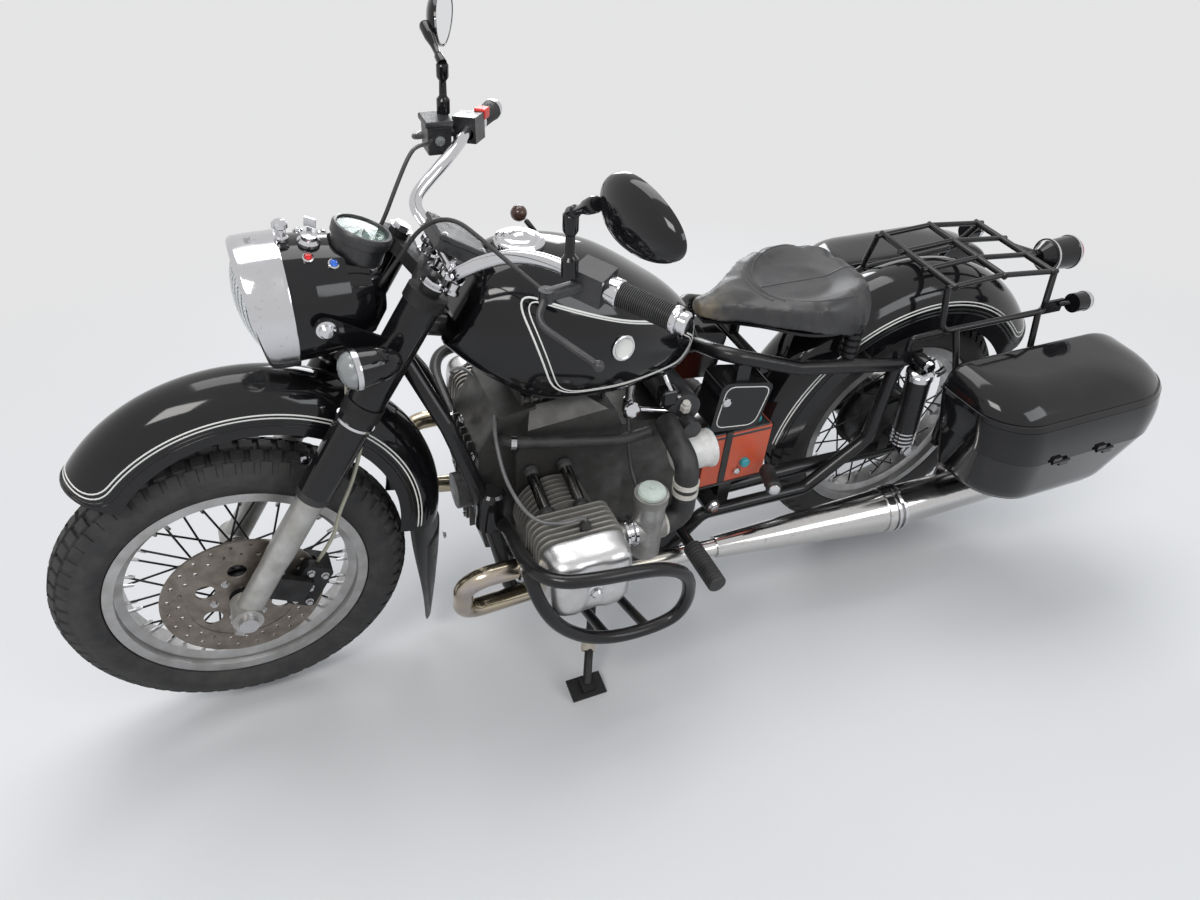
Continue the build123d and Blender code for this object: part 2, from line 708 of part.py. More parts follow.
def make_heads():
    """Cylinder heads with fins square to the barrel."""
    z = CRANK_Z
    core = block(
        (CYLINDER_X - 58, CYLINDER_X + 58), (BARREL_TO_Y, HEAD_TO_Y), (z - 50, z + 50)
    )
    fins = []
    for i in range(6):
        y = BARREL_TO_Y + 4 + i * 13
        fin = block(
            (CYLINDER_X - HEAD_HALF_L, CYLINDER_X + HEAD_HALF_L), (y, y + 4),
            (z - HEAD_HALF_H, z + HEAD_HALF_H),
        )
        fins.append(fillet(fin.edges().filter_by(Axis.Y), 26))
    port_front = drum_x(CYLINDER_X + 40, CYLINDER_X + HEAD_HALF_L + 3, 245, z - 22, 26)
    port_back = drum_x(CYLINDER_X - HEAD_HALF_L - 3, CYLINDER_X - 40, 245, z + 10, 24)
    return both_sides(fuse([core, port_front, port_back] + fins))


def make_rocker_covers():
    z = CRANK_Z
    base = block(
        (CYLINDER_X - HEAD_HALF_L - 2, CYLINDER_X + HEAD_HALF_L + 2), (HEAD_TO_Y, COVER_TO_Y),
        (z - HEAD_HALF_H - 2, z + HEAD_HALF_H),
    )
    cover = fillet(base.edges().filter_by(Axis.Y), 30)
    cover = chamfer(cover.faces().sort_by(Axis.Y)[-1].edges(), 14)
    return both_sides(cover)


def make_carburettors():
    z = CRANK_Z + 10
    x = CYLINDER_X - HEAD_HALF_L - 3
    y = 245
    flange = drum_x(x - 36, x, y, z, 21)
    body = drum_x(x - 96, x - 36, y, z, 28)
    bowl = post(x - 66, y, z - 62, z, 30)
    tower = post(x - 66, y, z, z + 70, 30)
    cap = post(x - 66, y, z + 70, z + 88, 33)
    return both_sides(fuse([flange, body, bowl, tower, cap]))


def make_intake_hoses():
    """Rubber elbows from the air box to the carburettors."""
    z = CRANK_Z + 10
    x = CYLINDER_X - HEAD_HALF_L - 3 - 96
    hose = tube([(x, 245, z), (x - 45, 245, z), (x - 45, 236, z + 130), (x - 56, 120, z + 140)], 23, 34)
    return both_sides(hose)


def make_air_filter():
    """Round air filter across the top of the gearbox, with its pale drum on the left."""
    return fuse([drum(645, 590, -119, 119, 34), drum_x(590, 665, 150, 505, 36), drum(640, 560, 90, 150, 20)])


def make_headers():
    """Exhaust pipes from the front of the heads, down and back to the silencers."""
    x = CYLINDER_X + HEAD_HALF_L + 3
    z = CRANK_Z - 18
    along = (SILENCER_BAND - SILENCER_FROM).normalized()
    header = tube(
        [(x, 238, z), (1130, 238, z), (1122, 190, 262), SILENCER_FROM - along * 340, SILENCER_FROM], HEADER_R, 50
    )
    return both_sides(header)


def make_silencers():
    """Long cone that swells to a banded drum."""
    start, band, end = SILENCER_FROM, SILENCER_BAND, SILENCER_END
    along = (band - start).normalized()
    cone = loft([Plane(start, z_dir=along) * Circle(HEADER_R + 5), Plane(band, z_dir=along) * Circle(SILENCER_R)])
    body = loft([
        Plane(band, z_dir=along) * Circle(SILENCER_R - 2),
        Plane(end, z_dir=end - band) * Circle(SILENCER_TAIL_R),
    ])
    ring_band = rod(band - along * 6, band + along * 12, SILENCER_R + 3)
    hanger = block((-60, -30), (189, 195), (280, PANNIER_RAIL_Z - 7 - FIT))
    return both_sides(fuse([cone, body, ring_band, hanger]))


def make_canister():
    """Round black horn between the down tubes, on a strap from the left one."""
    strap = block((1055, 1063), (40, 112), (432, 448)) - down_tube(TUBE_R + FIT)
    return drum_x(1062, 1088, 40, 440, 36) + strap


TANK_SECTIONS = [
    # x, half width, bottom z, top z
    (1080, 62, 778, 868),
    (1030, 104, 742, 908),
    (940, 140, 704, 930),
    (810, 146, 690, 900),
    (690, 112, 680, 826),
    (600, 44, 682, 742),
]


def tank_section(x, half_w, low, high):
    waist = low + (high - low) * 0.40
    shoulder = low + (high - low) * 0.86
    points = [
        Line((x, -half_w * 0.8, low), (x, half_w * 0.8, low)),
        ThreePointArc(
            (x, half_w * 0.8, low), (x, half_w, waist), (x, half_w * 0.62, shoulder)
        ),
        ThreePointArc((x, half_w * 0.62, shoulder), (x, 0, high), (x, -half_w * 0.62, shoulder)),
        ThreePointArc(
            (x, -half_w * 0.62, shoulder), (x, -half_w, waist), (x, -half_w * 0.8, low)
        ),
    ]
    return make_face(points)


def make_tank():
    """Teardrop tank astride the backbone."""
    body = loft([tank_section(*row) for row in TANK_SECTIONS])
    run = BACKBONE_FRONT - BACKBONE_REAR
    rise = Vector(0, 0, BACKBONE_R * run.length / run.X + FIT)
    half_w = BACKBONE_R + 6
    front, rear = BACKBONE_FRONT + rise + run * 0.2, BACKBONE_REAR + rise - run * 0.2
    tunnel = side_profile([(front.X, 400), (front.X, front.Z), (rear.X, rear.Z), (rear.X, 400)], -half_w, half_w)
    throat = FORK * post(-STEM_OFFSET, 0, 400, 900, HEAD_TUBE_R + 26)
    # the front end is cut back along the steering axis, clear of the turning yokes
    front_cut = FORK * block((TANK_CUT_X, 300), (-200, 200), (YOKE_TOP - 12, 900))
    return body - tunnel - throat - front_cut - CAP_PLACE * post(0, 0, 0, 90, CAP_R + FIT)


def make_tank_cap():
    return CAP_PLACE * fuse([post(0, 0, FIT, 14, CAP_R), post(0, 0, 14, 20, CAP_R - 6)])


def make_saddle():
    """Broad sprung saddle with a narrow nose."""
    outline = make_face([
        Line((590, 26), (590, -26)),
        ThreePointArc((590, -26), (520, -60), (440, -118)),
        ThreePointArc((440, -118), (330, -160), (222, -120)),
        ThreePointArc((222, -120), (192, 0), (222, 120)),
        ThreePointArc((222, 120), (330, 160), (440, 118)),
        ThreePointArc((440, 118), (520, 60), (590, 26)),
    ])
    pad = Pos(0, 0, SADDLE_LOW) * extrude(outline, amount=46)
    return fillet(pad.faces().sort_by(Axis.Z)[-1].edges(), 18)


def make_saddle_base():
    """Seat pan on its two coil springs and its front bracket."""
    pan = Pos(0, 0, SADDLE_LOW - FIT - 6) * extrude(make_face([
        Line((570, 20), (570, -20)),
        ThreePointArc((570, -20), (500, -50), (430, -100)),
        ThreePointArc((430, -100), (330, -138), (240, -104)),
        ThreePointArc((240, -104), (214, 0), (240, 104)),
        ThreePointArc((240, 104), (330, 138), (430, 100)),
        ThreePointArc((430, 100), (500, 50), (570, 20)),
    ]), amount=6)
    springs = []
    for i in range(5):
        springs += both_sides(post(270, 112, 640 + i * 15, 649 + i * 15, 20))
    cores = both_sides(post(270, 112, 636, SADDLE_LOW - 4, 14))
    bracket = post(480, 0, 655, SADDLE_LOW - 4, 10) - drum(480, 655, -40, 40, 11)
    seats = both_sides(post(270, 118, 600, 637, 12))
    rails = tube([BACKBONE_REAR, (562, 105, 692), (400, RAIL_Y, 640), (140, LOOP_Y, 598)], TUBE_R, 45)
    return fuse([pan, bracket] + springs + cores + [seat - block((0, 900), (-300, 300), (500, 618)) for seat in seats]
                ) - fuse(both_sides(rails))


def make_side_boxes():
    """Tool box on each side, below the saddle."""
    outline = [(572, 640), (450, 618), (470, 508), (583, 522)]
    plate = side_profile(outline, 60, 128)
    plate = fillet(plate.edges().filter_by(Axis.Y), 16)
    return both_sides(plate)


def make_battery():
    return block((425, 580), (58, 122), (BATTERY_LOW, 500))


def make_crash_bars():
    """Loop round each cylinder, clamped to the down tube and strutted from the lower rail."""
    loop = tube(
        [(1020, 128, 404), (1028, 215, 434), (1038, 305, 470), (1008, 370, 490), (937, 384, 486), (808, 377, 467),
         (742, 362, 400), (717, 352, 319), (751, 352, CRASH_LOW_Z), (884, 352, CRASH_LOW_Z), (975, 352, 310), (1036, 345, 352),
         (1038, 309, 462)],
        BAR_TUBE_R, 24,
    )
    struts = [tube([(x, RAIL_Y, RAIL_Z - 4), (x, 215, 206), (x, 350, 264)], 10, 40) for x in (800, 880)]
    return both_sides(fuse([loop] + struts) - down_tube(TUBE_R))


def make_pedals():
    """Gear pedal on the left and brake pedal on the right, turning on the foot pegs' bars."""
    boss = drum(640, 305, 140, 158, PEG_R + 6)
    arm = rod((640, 149, 305), (770, 170, 330), 7)
    pad = drum(770, 330, 165, 225, 9)
    return both_sides(fuse([boss, arm, pad]) - drum(640, 305, 100, 200, PEG_R + FIT))


def make_shocks():
    """Rear spring legs: shrouded above, with a ribbed chrome end below."""
    top, low = Vector(*SHOCK_TOP), Vector(*SHOCK_LOW)
    along = (top - low).normalized()
    legs = [
        rod(low + along * 8, low + along * 60, 20),
        rod(low + along * 55, top - along * 24, 27),
        rod(top - along * 26, top, 12),
    ]
    bores = []
    for x, y, z in (SHOCK_TOP, SHOCK_LOW):
        legs.append(drum(x, z, y - 14, y + 14, SHOCK_EYE_R))
        bores.append(drum(x, z, y - 40, y + 40, 8 + FIT))
    for i in range(3):
        legs.append(rod(low + along * (22 + 11 * i), low + along * (28 + 11 * i), 25))
    leg = fuse(legs)
    for bore in bores:
        leg = leg - bore
    return both_sides(leg)


def make_rear_guard():
    guard = make_guard(
        REAR_GUARD_X, REAR_GUARD_Z, REAR_GUARD_R, REAR_GUARD_HALF_W,
        REAR_GUARD_R - 120, REAR_GUARD_FROM, REAR_GUARD_TO,
    )
    return guard


def make_rack():
    """Luggage rack of round tube, with the side rails that carry the panniers."""
    rails = []
    for y in (118, 40, -40, -118):
        rails.append(tube([(62, y, 760), (-80, y, 768), (-246, y, 752)], 6, 60))
    for x, z in ((45, 762), (-86, 767), (RACK_REAR_X, RACK_REAR_Z)):
        rails.append(drum(x, z, -125, 125, 7))
    side = [
        tube([(60, 118, 760), (60, 140, 668), (-213, 150, 676), (-240, 118, 752)], 7, 22),
        # leg that stands on the spring leg's top mount
        tube([(120, 126, 626 + FIT), (120, 126, 654), (60, 140, 668)], 7, 12),
        tube([(20, 142, 668), (20, 192, 560), (20, 192, PANNIER_RAIL_Z), (-180, 192, PANNIER_RAIL_Z), (-180, 192, 560), (-200, 150, 676)],
             7, 22),
        block((-182, 22), (190, BAG_INNER_Y - FIT), (452, 468)),
        block((-182, 22), (190, BAG_INNER_Y - FIT), (396, 412)),
        # lug for the indicator
        block((-262, -205), (148, 154), (670, 700)),
    ]
    pieces = list(rails)
    for piece in side:
        pieces += both_sides(piece)
    return fuse(pieces)


def make_rear_lamps():
    """Bullet tail lamp and two rear indicators."""
    tail = Pos(0, 0, 712) * revolve(
        make_face(Polyline((-326, 0, 0), (-326, 0, 18), (-350, 0, 34), (-420, 0, 38), (-432, 0, 32),
                           (-440, 0, 0), close=True)),
        axis=Axis.X,
    )
    cross, lamp = Vector(RACK_REAR_X, 0, RACK_REAR_Z), Vector(-336, 0, 716)
    foot = rod(cross + (lamp - cross).normalized() * (7 + FIT), lamp, 7)
    indicator = drum_x(-300, -262, 173, 701, 21)
    stalk = rod((-250, 154 + FIT, 690), (-276, 173, 701), 6) - block((-400, -100), (100, 154 + FIT), (600, 800))
    return [fuse([tail, foot])] + both_sides(fuse([indicator, stalk]))


def bag_shell(sections, wall):
    """Tapered pannier body lofted through its sections (z, front, rear, inner y, outer y)."""
    faces = []
    for z, front, rear, inner, outer in sections:
        outline = Plane.XY.offset(z) * make_face(Polyline(
            (front - wall, inner + wall), (front - wall - 14, outer - 60 - wall), (front - 90, outer - wall),
            (rear + 120, outer - wall), (rear + wall, outer - 70 - wall), (rear + wall, inner + wall), close=True
        ))
        faces.append(outline)
    return loft(faces, ruled=True)


def hinge_knuckles(start, end, low, high):
    """A pannier's hinge knuckles between two places along each hinge, with leaves from low to high."""
    pieces = []
    for x in (BAG_REAR_X + 190, BAG_FRONT_X - 190):
        pieces.append(drum_x(x + start, x + end, LID_AXIS_Y, LID_AXIS_Z, HINGE_R))
        pieces.append(block((x + start, x + end), (BAG_OUTER_Y - 2, LID_AXIS_Y + 1), (low, high)))
    return pieces


def make_pannier_box():
    """Hard pannier body, open at the top."""
    table = [
        # z, front x, rear x, inner y, outer y
        (BAG_LOW_Z, BAG_FRONT_X - 60, BAG_REAR_X + 40, BAG_INNER_Y, BAG_OUTER_Y - 40),
        (BAG_SEAM_Z, BAG_FRONT_X - 8, BAG_REAR_X, BAG_INNER_Y, BAG_OUTER_Y),
    ]
    outer = bag_shell(table, 0)
    inner_table = [(BAG_LOW_Z + BAG_WALL, *table[0][1:]), (BAG_SEAM_Z + 1, *table[1][1:])]
    hinge = hinge_knuckles(0, 24, BAG_SEAM_Z - 12, BAG_SEAM_Z)
    return fuse([outer - bag_shell(inner_table, BAG_WALL)] + hinge)


def make_pannier_lid():
    """Domed pannier lid, hollow, hinged along its outer edge."""
    low = BAG_SEAM_Z + LID_GAP
    table = [
        # z, front x, rear x, inner y, outer y
        (low, BAG_FRONT_X - 8, BAG_REAR_X, BAG_INNER_Y, BAG_OUTER_Y),
        (BAG_SEAM_Z + 60, BAG_FRONT_X, BAG_REAR_X + 30, BAG_INNER_Y, BAG_OUTER_Y - 14),
        (BAG_TOP_Z, BAG_FRONT_X - 20, BAG_REAR_X + 150, BAG_INNER_Y, BAG_OUTER_Y - 120),
    ]
    outer = bag_shell(table, 0)
    inner = bag_shell([(low - 1, *table[0][1:]), table[1], (BAG_TOP_Z - BAG_WALL, *table[2][1:])], BAG_WALL)
    hinge = hinge_knuckles(24.5, 48, low, low + 12)
    return fuse([outer - inner] + hinge)


def make_side_stand():
    """Side stand leg with its knuckle, and a plate that lies flat on the ground."""
    half = STAND_KNUCKLE_H / 2
    knuckle = STAND * post(0, 0, -half, half, STAND_KNUCKLE_R)
    bore = STAND * post(0, 0, -half - 20, half + 20, STAND_PIN_R + FIT)
    leg = rod(STAND_PIVOT, Vector(*STAND_PIVOT) + STAND_LEG, STAND_R)
    plate = Plane(STAND_FOOT, x_dir=(1, 0, 0), z_dir=UP) * Box(
        74, 48, STAND_PLATE_T, align=(Align.CENTER, Align.CENTER, Align.MIN)
    )
    web = Plane(STAND_FOOT, x_dir=(1, 0, 0), z_dir=UP) * Box(
        26, 30, STAND_R + 8, align=(Align.CENTER, Align.CENTER, Align.MIN)
    )
    return fuse([knuckle, leg, plate, web]) - bore


# Every node with the pieces that it holds
NODES = {
    "frame": [make_frame()],
    "swingarm": [make_swingarm()],
    "rear_axle": [make_rear_axle()],
    "engine_case": [make_engine_case()],
    "cylinder_barrels": make_barrels(),
    "cylinder_heads": make_heads(),
    "rocker_covers": make_rocker_covers(),
    "carburettors": make_carburettors(),
    "intake_hoses": make_intake_hoses(),
    "air_filter": [make_air_filter()],
    "exhaust_headers": make_headers(),
    "silencers": make_silencers(),
    "horn": [make_canister()],
    "fuel_tank": [make_tank()],
    "tank_cap": [make_tank_cap()],
    "saddle": [make_saddle()],
    "saddle_base": [make_saddle_base()],
    "tool_boxes": make_side_boxes(),
    "battery": [make_battery()],
    "crash_bars": make_crash_bars(),
    "foot_controls": make_pedals(),
    "shock_absorbers": make_shocks(),
    "rear_mudguard": [make_rear_guard()],
    "luggage_rack": [make_rack()],
    "rear_lamps": make_rear_lamps(),
    "pannier_boxes": both_sides(make_pannier_box()),
    "pannier_lid_left": [make_pannier_lid()],
    "pannier_lid_right": [mirror(make_pannier_lid(), about=Plane.XZ)],
    "side_stand": [make_side_stand()],
    "fork_sliders": make_fork_sliders(),
    "fork_covers": make_fork_covers(),
    "fork_yokes": [make_fork_yokes()],
    "front_axle": [make_front_axle()],
    "brake_caliper": [make_caliper()],
    "front_mudguard": [make_front_guard()],
    "mud_flap": [make_mud_flap()],
    "headlamp": [make_headlamp()],
    "headlamp_rim": [make_lamp_rim()],
    "headlamp_glass": [make_lamp_glass()],
    "speedometer": [make_speedometer()],
    "handlebar": [make_handlebar()],
    "grips": make_grips(),
    "hand_controls": make_hand_controls(),
    "mirrors": make_mirrors(),
    "front_indicators": make_front_indicators(),
    "front_tyre": [Pos(*AXLE_FRONT) * make_tyre()],
    "front_rim": [Pos(*AXLE_FRONT) * make_rim()],
    "front_hub": [Pos(*AXLE_FRONT) * make_front_hub()],
    "brake_disc": [Pos(*AXLE_FRONT) * make_brake_disc()],
    "rear_tyre": [Pos(*AXLE_REAR) * make_tyre()],
    "rear_rim": [Pos(*AXLE_REAR) * make_rim()],
    "rear_hub": [Pos(*AXLE_REAR) * make_rear_hub()],
}

# The whole motorcycle leans onto its stand, and its box's bottom centre becomes the origin
LEANING = {name: Rot(-LEAN, 0, 0) * Compound(pieces) for name, pieces in NODES.items()}
BOX = Compound(list(LEANING.values())).bounding_box()
SHIFT = Vector(-BOX.center().X, -BOX.center().Y, -BOX.min.Z)


def placed(point):
    """Where a point of the upright motorcycle comes to lie in the finished model."""
    return Vector(*point).rotate(Axis.X, -LEAN) + SHIFT


os.makedirs("parts", exist_ok=True)
for name, shape in LEANING.items():
    export_step(Pos(*SHIFT) * shape, f"parts/{name}.step")
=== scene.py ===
import json
from math import asin, cos, pi, radians, sin, tau

import bmesh
import bpy
from mathutils import Matrix, Vector
from mathutils.bvhtree import BVHTree


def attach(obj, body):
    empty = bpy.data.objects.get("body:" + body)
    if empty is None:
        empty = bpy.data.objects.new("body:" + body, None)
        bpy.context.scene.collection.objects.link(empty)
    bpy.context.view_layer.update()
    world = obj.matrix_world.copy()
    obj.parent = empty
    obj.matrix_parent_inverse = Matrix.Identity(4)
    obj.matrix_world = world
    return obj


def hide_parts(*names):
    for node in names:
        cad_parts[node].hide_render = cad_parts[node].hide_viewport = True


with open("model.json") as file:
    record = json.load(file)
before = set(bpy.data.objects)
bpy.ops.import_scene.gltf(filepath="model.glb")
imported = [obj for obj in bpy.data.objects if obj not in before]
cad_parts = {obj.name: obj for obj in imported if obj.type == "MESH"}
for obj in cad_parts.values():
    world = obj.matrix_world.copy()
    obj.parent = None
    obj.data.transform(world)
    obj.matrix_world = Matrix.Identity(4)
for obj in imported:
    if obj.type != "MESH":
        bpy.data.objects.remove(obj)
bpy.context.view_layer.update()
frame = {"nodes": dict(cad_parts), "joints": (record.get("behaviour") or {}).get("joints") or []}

# The motorcycle's own upright frame, in metres: X forward, Y to the rider's left, Z up, with its
# origin on the wheels' midplane under the rear axle. The joints say where it stands and leans.
JOINTS = {joint["name"]: joint for joint in frame["joints"]}
TYRE_R = 0.315
TYRE_HALF_W = 0.052
RAKE = radians(31.5)
MILLIMETRE = 0.001
REAR_AXLE = Vector(JOINTS["rear_wheel_spin"]["pos_m"])
FRONT_AXLE = Vector(JOINTS["front_wheel_spin"]["pos_m"])
AHEAD = Vector((1, 0, 0))
ACROSS = Vector(JOINTS["rear_wheel_spin"]["axis"])
UPRIGHT = AHEAD.cross(ACROSS)
LEANED = Matrix((AHEAD, ACROSS, UPRIGHT)).transposed().to_4x4()
BIKE = Matrix.Translation(REAR_AXLE - TYRE_R * UPRIGHT) @ LEANED
WHEELBASE = (FRONT_AXLE - REAR_AXLE).length

# The fork's frame inside the motorcycle's: Z up along the legs and X forward, from the front axle
FORK = Matrix.Translation((WHEELBASE, 0, TYRE_R)) @ Matrix.Rotation(-RAKE, 4, "Y")
ON_FORK = BIKE @ FORK

SIDES = ((1, "left"), (-1, "right"))


# Materials

def shader(name):
    """A new material: its nodes, its links, its shader and the Object coordinates for its patterns."""
    material = bpy.data.materials.new(name)
    material.use_nodes = True
    nodes = material.node_tree.nodes
    place = nodes.new("ShaderNodeTexCoord")
    return material, nodes, material.node_tree.links, nodes["Principled BSDF"], place.outputs["Object"]


def noise(nodes, links, place, scale, detail=4.0, roughness=0.55):
    """A cloudy value between 0 and 1."""
    texture = nodes.new("ShaderNodeTexNoise")
    texture.inputs["Scale"].default_value = scale
    texture.inputs["Detail"].default_value = detail
    texture.inputs["Roughness"].default_value = roughness
    links.new(place, texture.inputs["Vector"])
    return texture.outputs["Fac"]


def stretch(nodes, links, value, low, high, to_low, to_high):
    """A value carried from one range to another, and kept inside it."""
    node = nodes.new("ShaderNodeMapRange")
    links.new(value, node.inputs["Value"])
    ranges = {"From Min": low, "From Max": high, "To Min": to_low, "To Max": to_high}
    for socket, number in ranges.items():
        node.inputs[socket].default_value = number
    return node.outputs["Result"]


def blended(nodes, links, factor, first, second):
    """Two colours mixed by a factor. Each is a colour or a socket."""
    mix = nodes.new("ShaderNodeMix")
    mix.data_type = "RGBA"
    links.new(factor, mix.inputs["Factor"])
    for socket, colour in ((mix.inputs[6], first), (mix.inputs[7], second)):
        if isinstance(colour, bpy.types.NodeSocket):
            links.new(colour, socket)
        else:
            socket.default_value = (*colour, 1)
    return mix.outputs[2]


def combined(nodes, links, operation, *values):
    """What a sum makes of its values. Each is a number or a socket."""
    node = nodes.new("ShaderNodeMath")
    node.operation = operation
    for socket, value in zip(node.inputs, values):
        if isinstance(value, bpy.types.NodeSocket):
            links.new(value, socket)
        else:
            socket.default_value = value
    return node.outputs[0]


def counted_from(nodes, links, place, centre):
    """Coordinates counted from a point of the model."""
    moved = nodes.new("ShaderNodeMapping")
    moved.inputs["Location"].default_value = -centre
    links.new(place, moved.inputs["Vector"])
    return moved.outputs["Vector"]


def length_of(nodes, links, vector):
    """The length of a socket's vector."""
    node = nodes.new("ShaderNodeVectorMath")
    node.operation = "LENGTH"
    links.new(vector, node.inputs[0])
    return node.outputs["Value"]


def bumped(nodes, links, bsdf, height, strength, distance):
    """Relief on a surface, from a value taken as its height."""
    bump = nodes.new("ShaderNodeBump")
    bump.inputs["Strength"].default_value = strength
    bump.inputs["Distance"].default_value = distance
    links.new(height, bump.inputs["Height"])
    links.new(bump.outputs["Normal"], bsdf.inputs["Normal"])


def upward(nodes, links):
    """How far a surface looks up, from 0 to 1, where dust settles."""
    geometry = nodes.new("ShaderNodeNewGeometry")
    split = nodes.new("ShaderNodeSeparateXYZ")
    links.new(geometry.outputs["Normal"], split.inputs["Vector"])
    return split.outputs["Z"]


DUST = (0.16, 0.15, 0.13)


def painted(name, colour, dust, gloss=(0.10, 0.30), coat=0.6):
    """Gloss paint with a haze of dust on what looks up and faint ripples in the lacquer."""
    material, nodes, links, bsdf, place = shader(name)
    cloud = noise(nodes, links, place, 7, 3)
    facing = stretch(nodes, links, upward(nodes, links), 0.2, 1.0, 0, 1)
    settled = combined(nodes, links, "MULTIPLY", facing, stretch(nodes, links, cloud, 0.35, 0.7, 0, dust))
    links.new(blended(nodes, links, settled, colour, DUST), bsdf.inputs["Base Color"])
    links.new(stretch(nodes, links, cloud, 0.3, 0.75, *gloss), bsdf.inputs["Roughness"])
    bsdf.inputs["Specular IOR Level"].default_value = 0.3
    bsdf.inputs["Coat Weight"].default_value = coat
    bsdf.inputs["Coat Roughness"].default_value = 0.05
    bumped(nodes, links, bsdf, noise(nodes, links, place, 45, 2), 0.03, 0.002)
    return material


def plated(name, colour, gloss=(0.05, 0.22), grime=(0.16, 0.13, 0.10), worn=0.35):
    """Chrome with smears and small dull spots."""
    material, nodes, links, bsdf, place = shader(name)
    smear = noise(nodes, links, place, 14, 5)
    spots = noise(nodes, links, place, 130, 3)
    dull = stretch(nodes, links, spots, 0.62, 0.78, 0, worn)
    links.new(blended(nodes, links, dull, colour, grime), bsdf.inputs["Base Color"])
    links.new(stretch(nodes, links, smear, 0.35, 0.75, *gloss), bsdf.inputs["Roughness"])
    bsdf.inputs["Metallic"].default_value = 1
    return material


def cast(name, light, dark, gloss=(0.38, 0.62), metallic=0.85, grain=420, depth=0.35):
    """Cast alloy: a fine sand texture with oily dark patches."""
    material, nodes, links, bsdf, place = shader(name)
    patches = noise(nodes, links, place, 30, 3, 0.5)
    tone = blended(nodes, links, stretch(nodes, links, patches, 0.25, 0.8, 0, 1), light, dark)
    links.new(tone, bsdf.inputs["Base Color"])
    links.new(stretch(nodes, links, patches, 0.3, 0.7, *gloss), bsdf.inputs["Roughness"])
    bsdf.inputs["Metallic"].default_value = metallic
    bumped(nodes, links, bsdf, noise(nodes, links, place, grain, 2), depth, 0.0006)
    return material


def moulded(name, colour, dusty, gloss=(0.5, 0.8), grain=260, depth=0.25):
    """Rubber or plastic with a fine grain and a bloom of dust."""
    material, nodes, links, bsdf, place = shader(name)
    bloom = stretch(nodes, links, noise(nodes, links, place, 30, 6, 0.7), 0.42, 0.75, 0, 1)
    links.new(blended(nodes, links, bloom, colour, dusty), bsdf.inputs["Base Color"])
    links.new(stretch(nodes, links, bloom, 0, 1, *gloss), bsdf.inputs["Roughness"])
    bumped(nodes, links, bsdf, noise(nodes, links, place, grain, 2), depth, 0.0008)
    return material


def heated_chrome(name):
    """Chrome of the exhaust, gold and blue where it is hottest, by the heads, and clear further back."""
    material, nodes, links, bsdf, place = shader(name)
    hottest = BIKE @ Vector((1.06, 0, 0.40))
    from_heads = length_of(nodes, links, counted_from(nodes, links, place, hottest))
    wander = noise(nodes, links, place, 20, 4)
    distance = combined(nodes, links, "MULTIPLY_ADD", wander, 0.10, from_heads)
    ramp = nodes.new("ShaderNodeValToRGB")
    links.new(stretch(nodes, links, distance, 0.22, 0.62, 0, 1), ramp.inputs["Fac"])
    bands = ramp.color_ramp
    for index, (spot, colour) in enumerate((
        (0.0, (0.42, 0.39, 0.34)), (0.16, (0.50, 0.43, 0.30)), (0.30, (0.40, 0.36, 0.40)),
        (0.42, (0.28, 0.36, 0.50)), (0.58, (0.56, 0.52, 0.44)), (0.80, (0.62, 0.61, 0.60)),
    )):
        stop = bands.elements[index] if index < 2 else bands.elements.new(spot)
        stop.position = spot
        stop.color = (*colour, 1)
    links.new(ramp.outputs["Color"], bsdf.inputs["Base Color"])
    links.new(stretch(nodes, links, wander, 0.3, 0.7, 0.10, 0.30), bsdf.inputs["Roughness"])
    bsdf.inputs["Metallic"].default_value = 1
    return material


def turned_steel(name, centre, axis, light, dark):
    """Disc steel with fine rings round its axle."""
    material, nodes, links, bsdf, place = shader(name)
    placed = nodes.new("ShaderNodeMapping")
    placed.vector_type = "POINT"
    turn = Vector(axis).rotation_difference(Vector((0, 0, 1))).to_matrix()
    placed.inputs["Rotation"].default_value = turn.to_euler()
    placed.inputs["Location"].default_value = -(turn @ Vector(centre))
    links.new(place, placed.inputs["Vector"])
    rings = nodes.new("ShaderNodeTexWave")
    rings.wave_type = "RINGS"
    rings.rings_direction = "Z"
    rings.inputs["Scale"].default_value = 110
    rings.inputs["Distortion"].default_value = 1.5
    rings.inputs["Detail"].default_value = 3
    links.new(placed.outputs["Vector"], rings.inputs["Vector"])
    patches = noise(nodes, links, place, 40, 5)
    tone = blended(nodes, links, stretch(nodes, links, patches, 0.35, 0.7, 0, 1), light, dark)
    links.new(tone, bsdf.inputs["Base Color"])
    links.new(stretch(nodes, links, rings.outputs["Fac"], 0, 1, 0.32, 0.5), bsdf.inputs["Roughness"])
    bsdf.inputs["Metallic"].default_value = 0.9
    bumped(nodes, links, bsdf, rings.outputs["Fac"], 0.15, 0.0004)
    return material


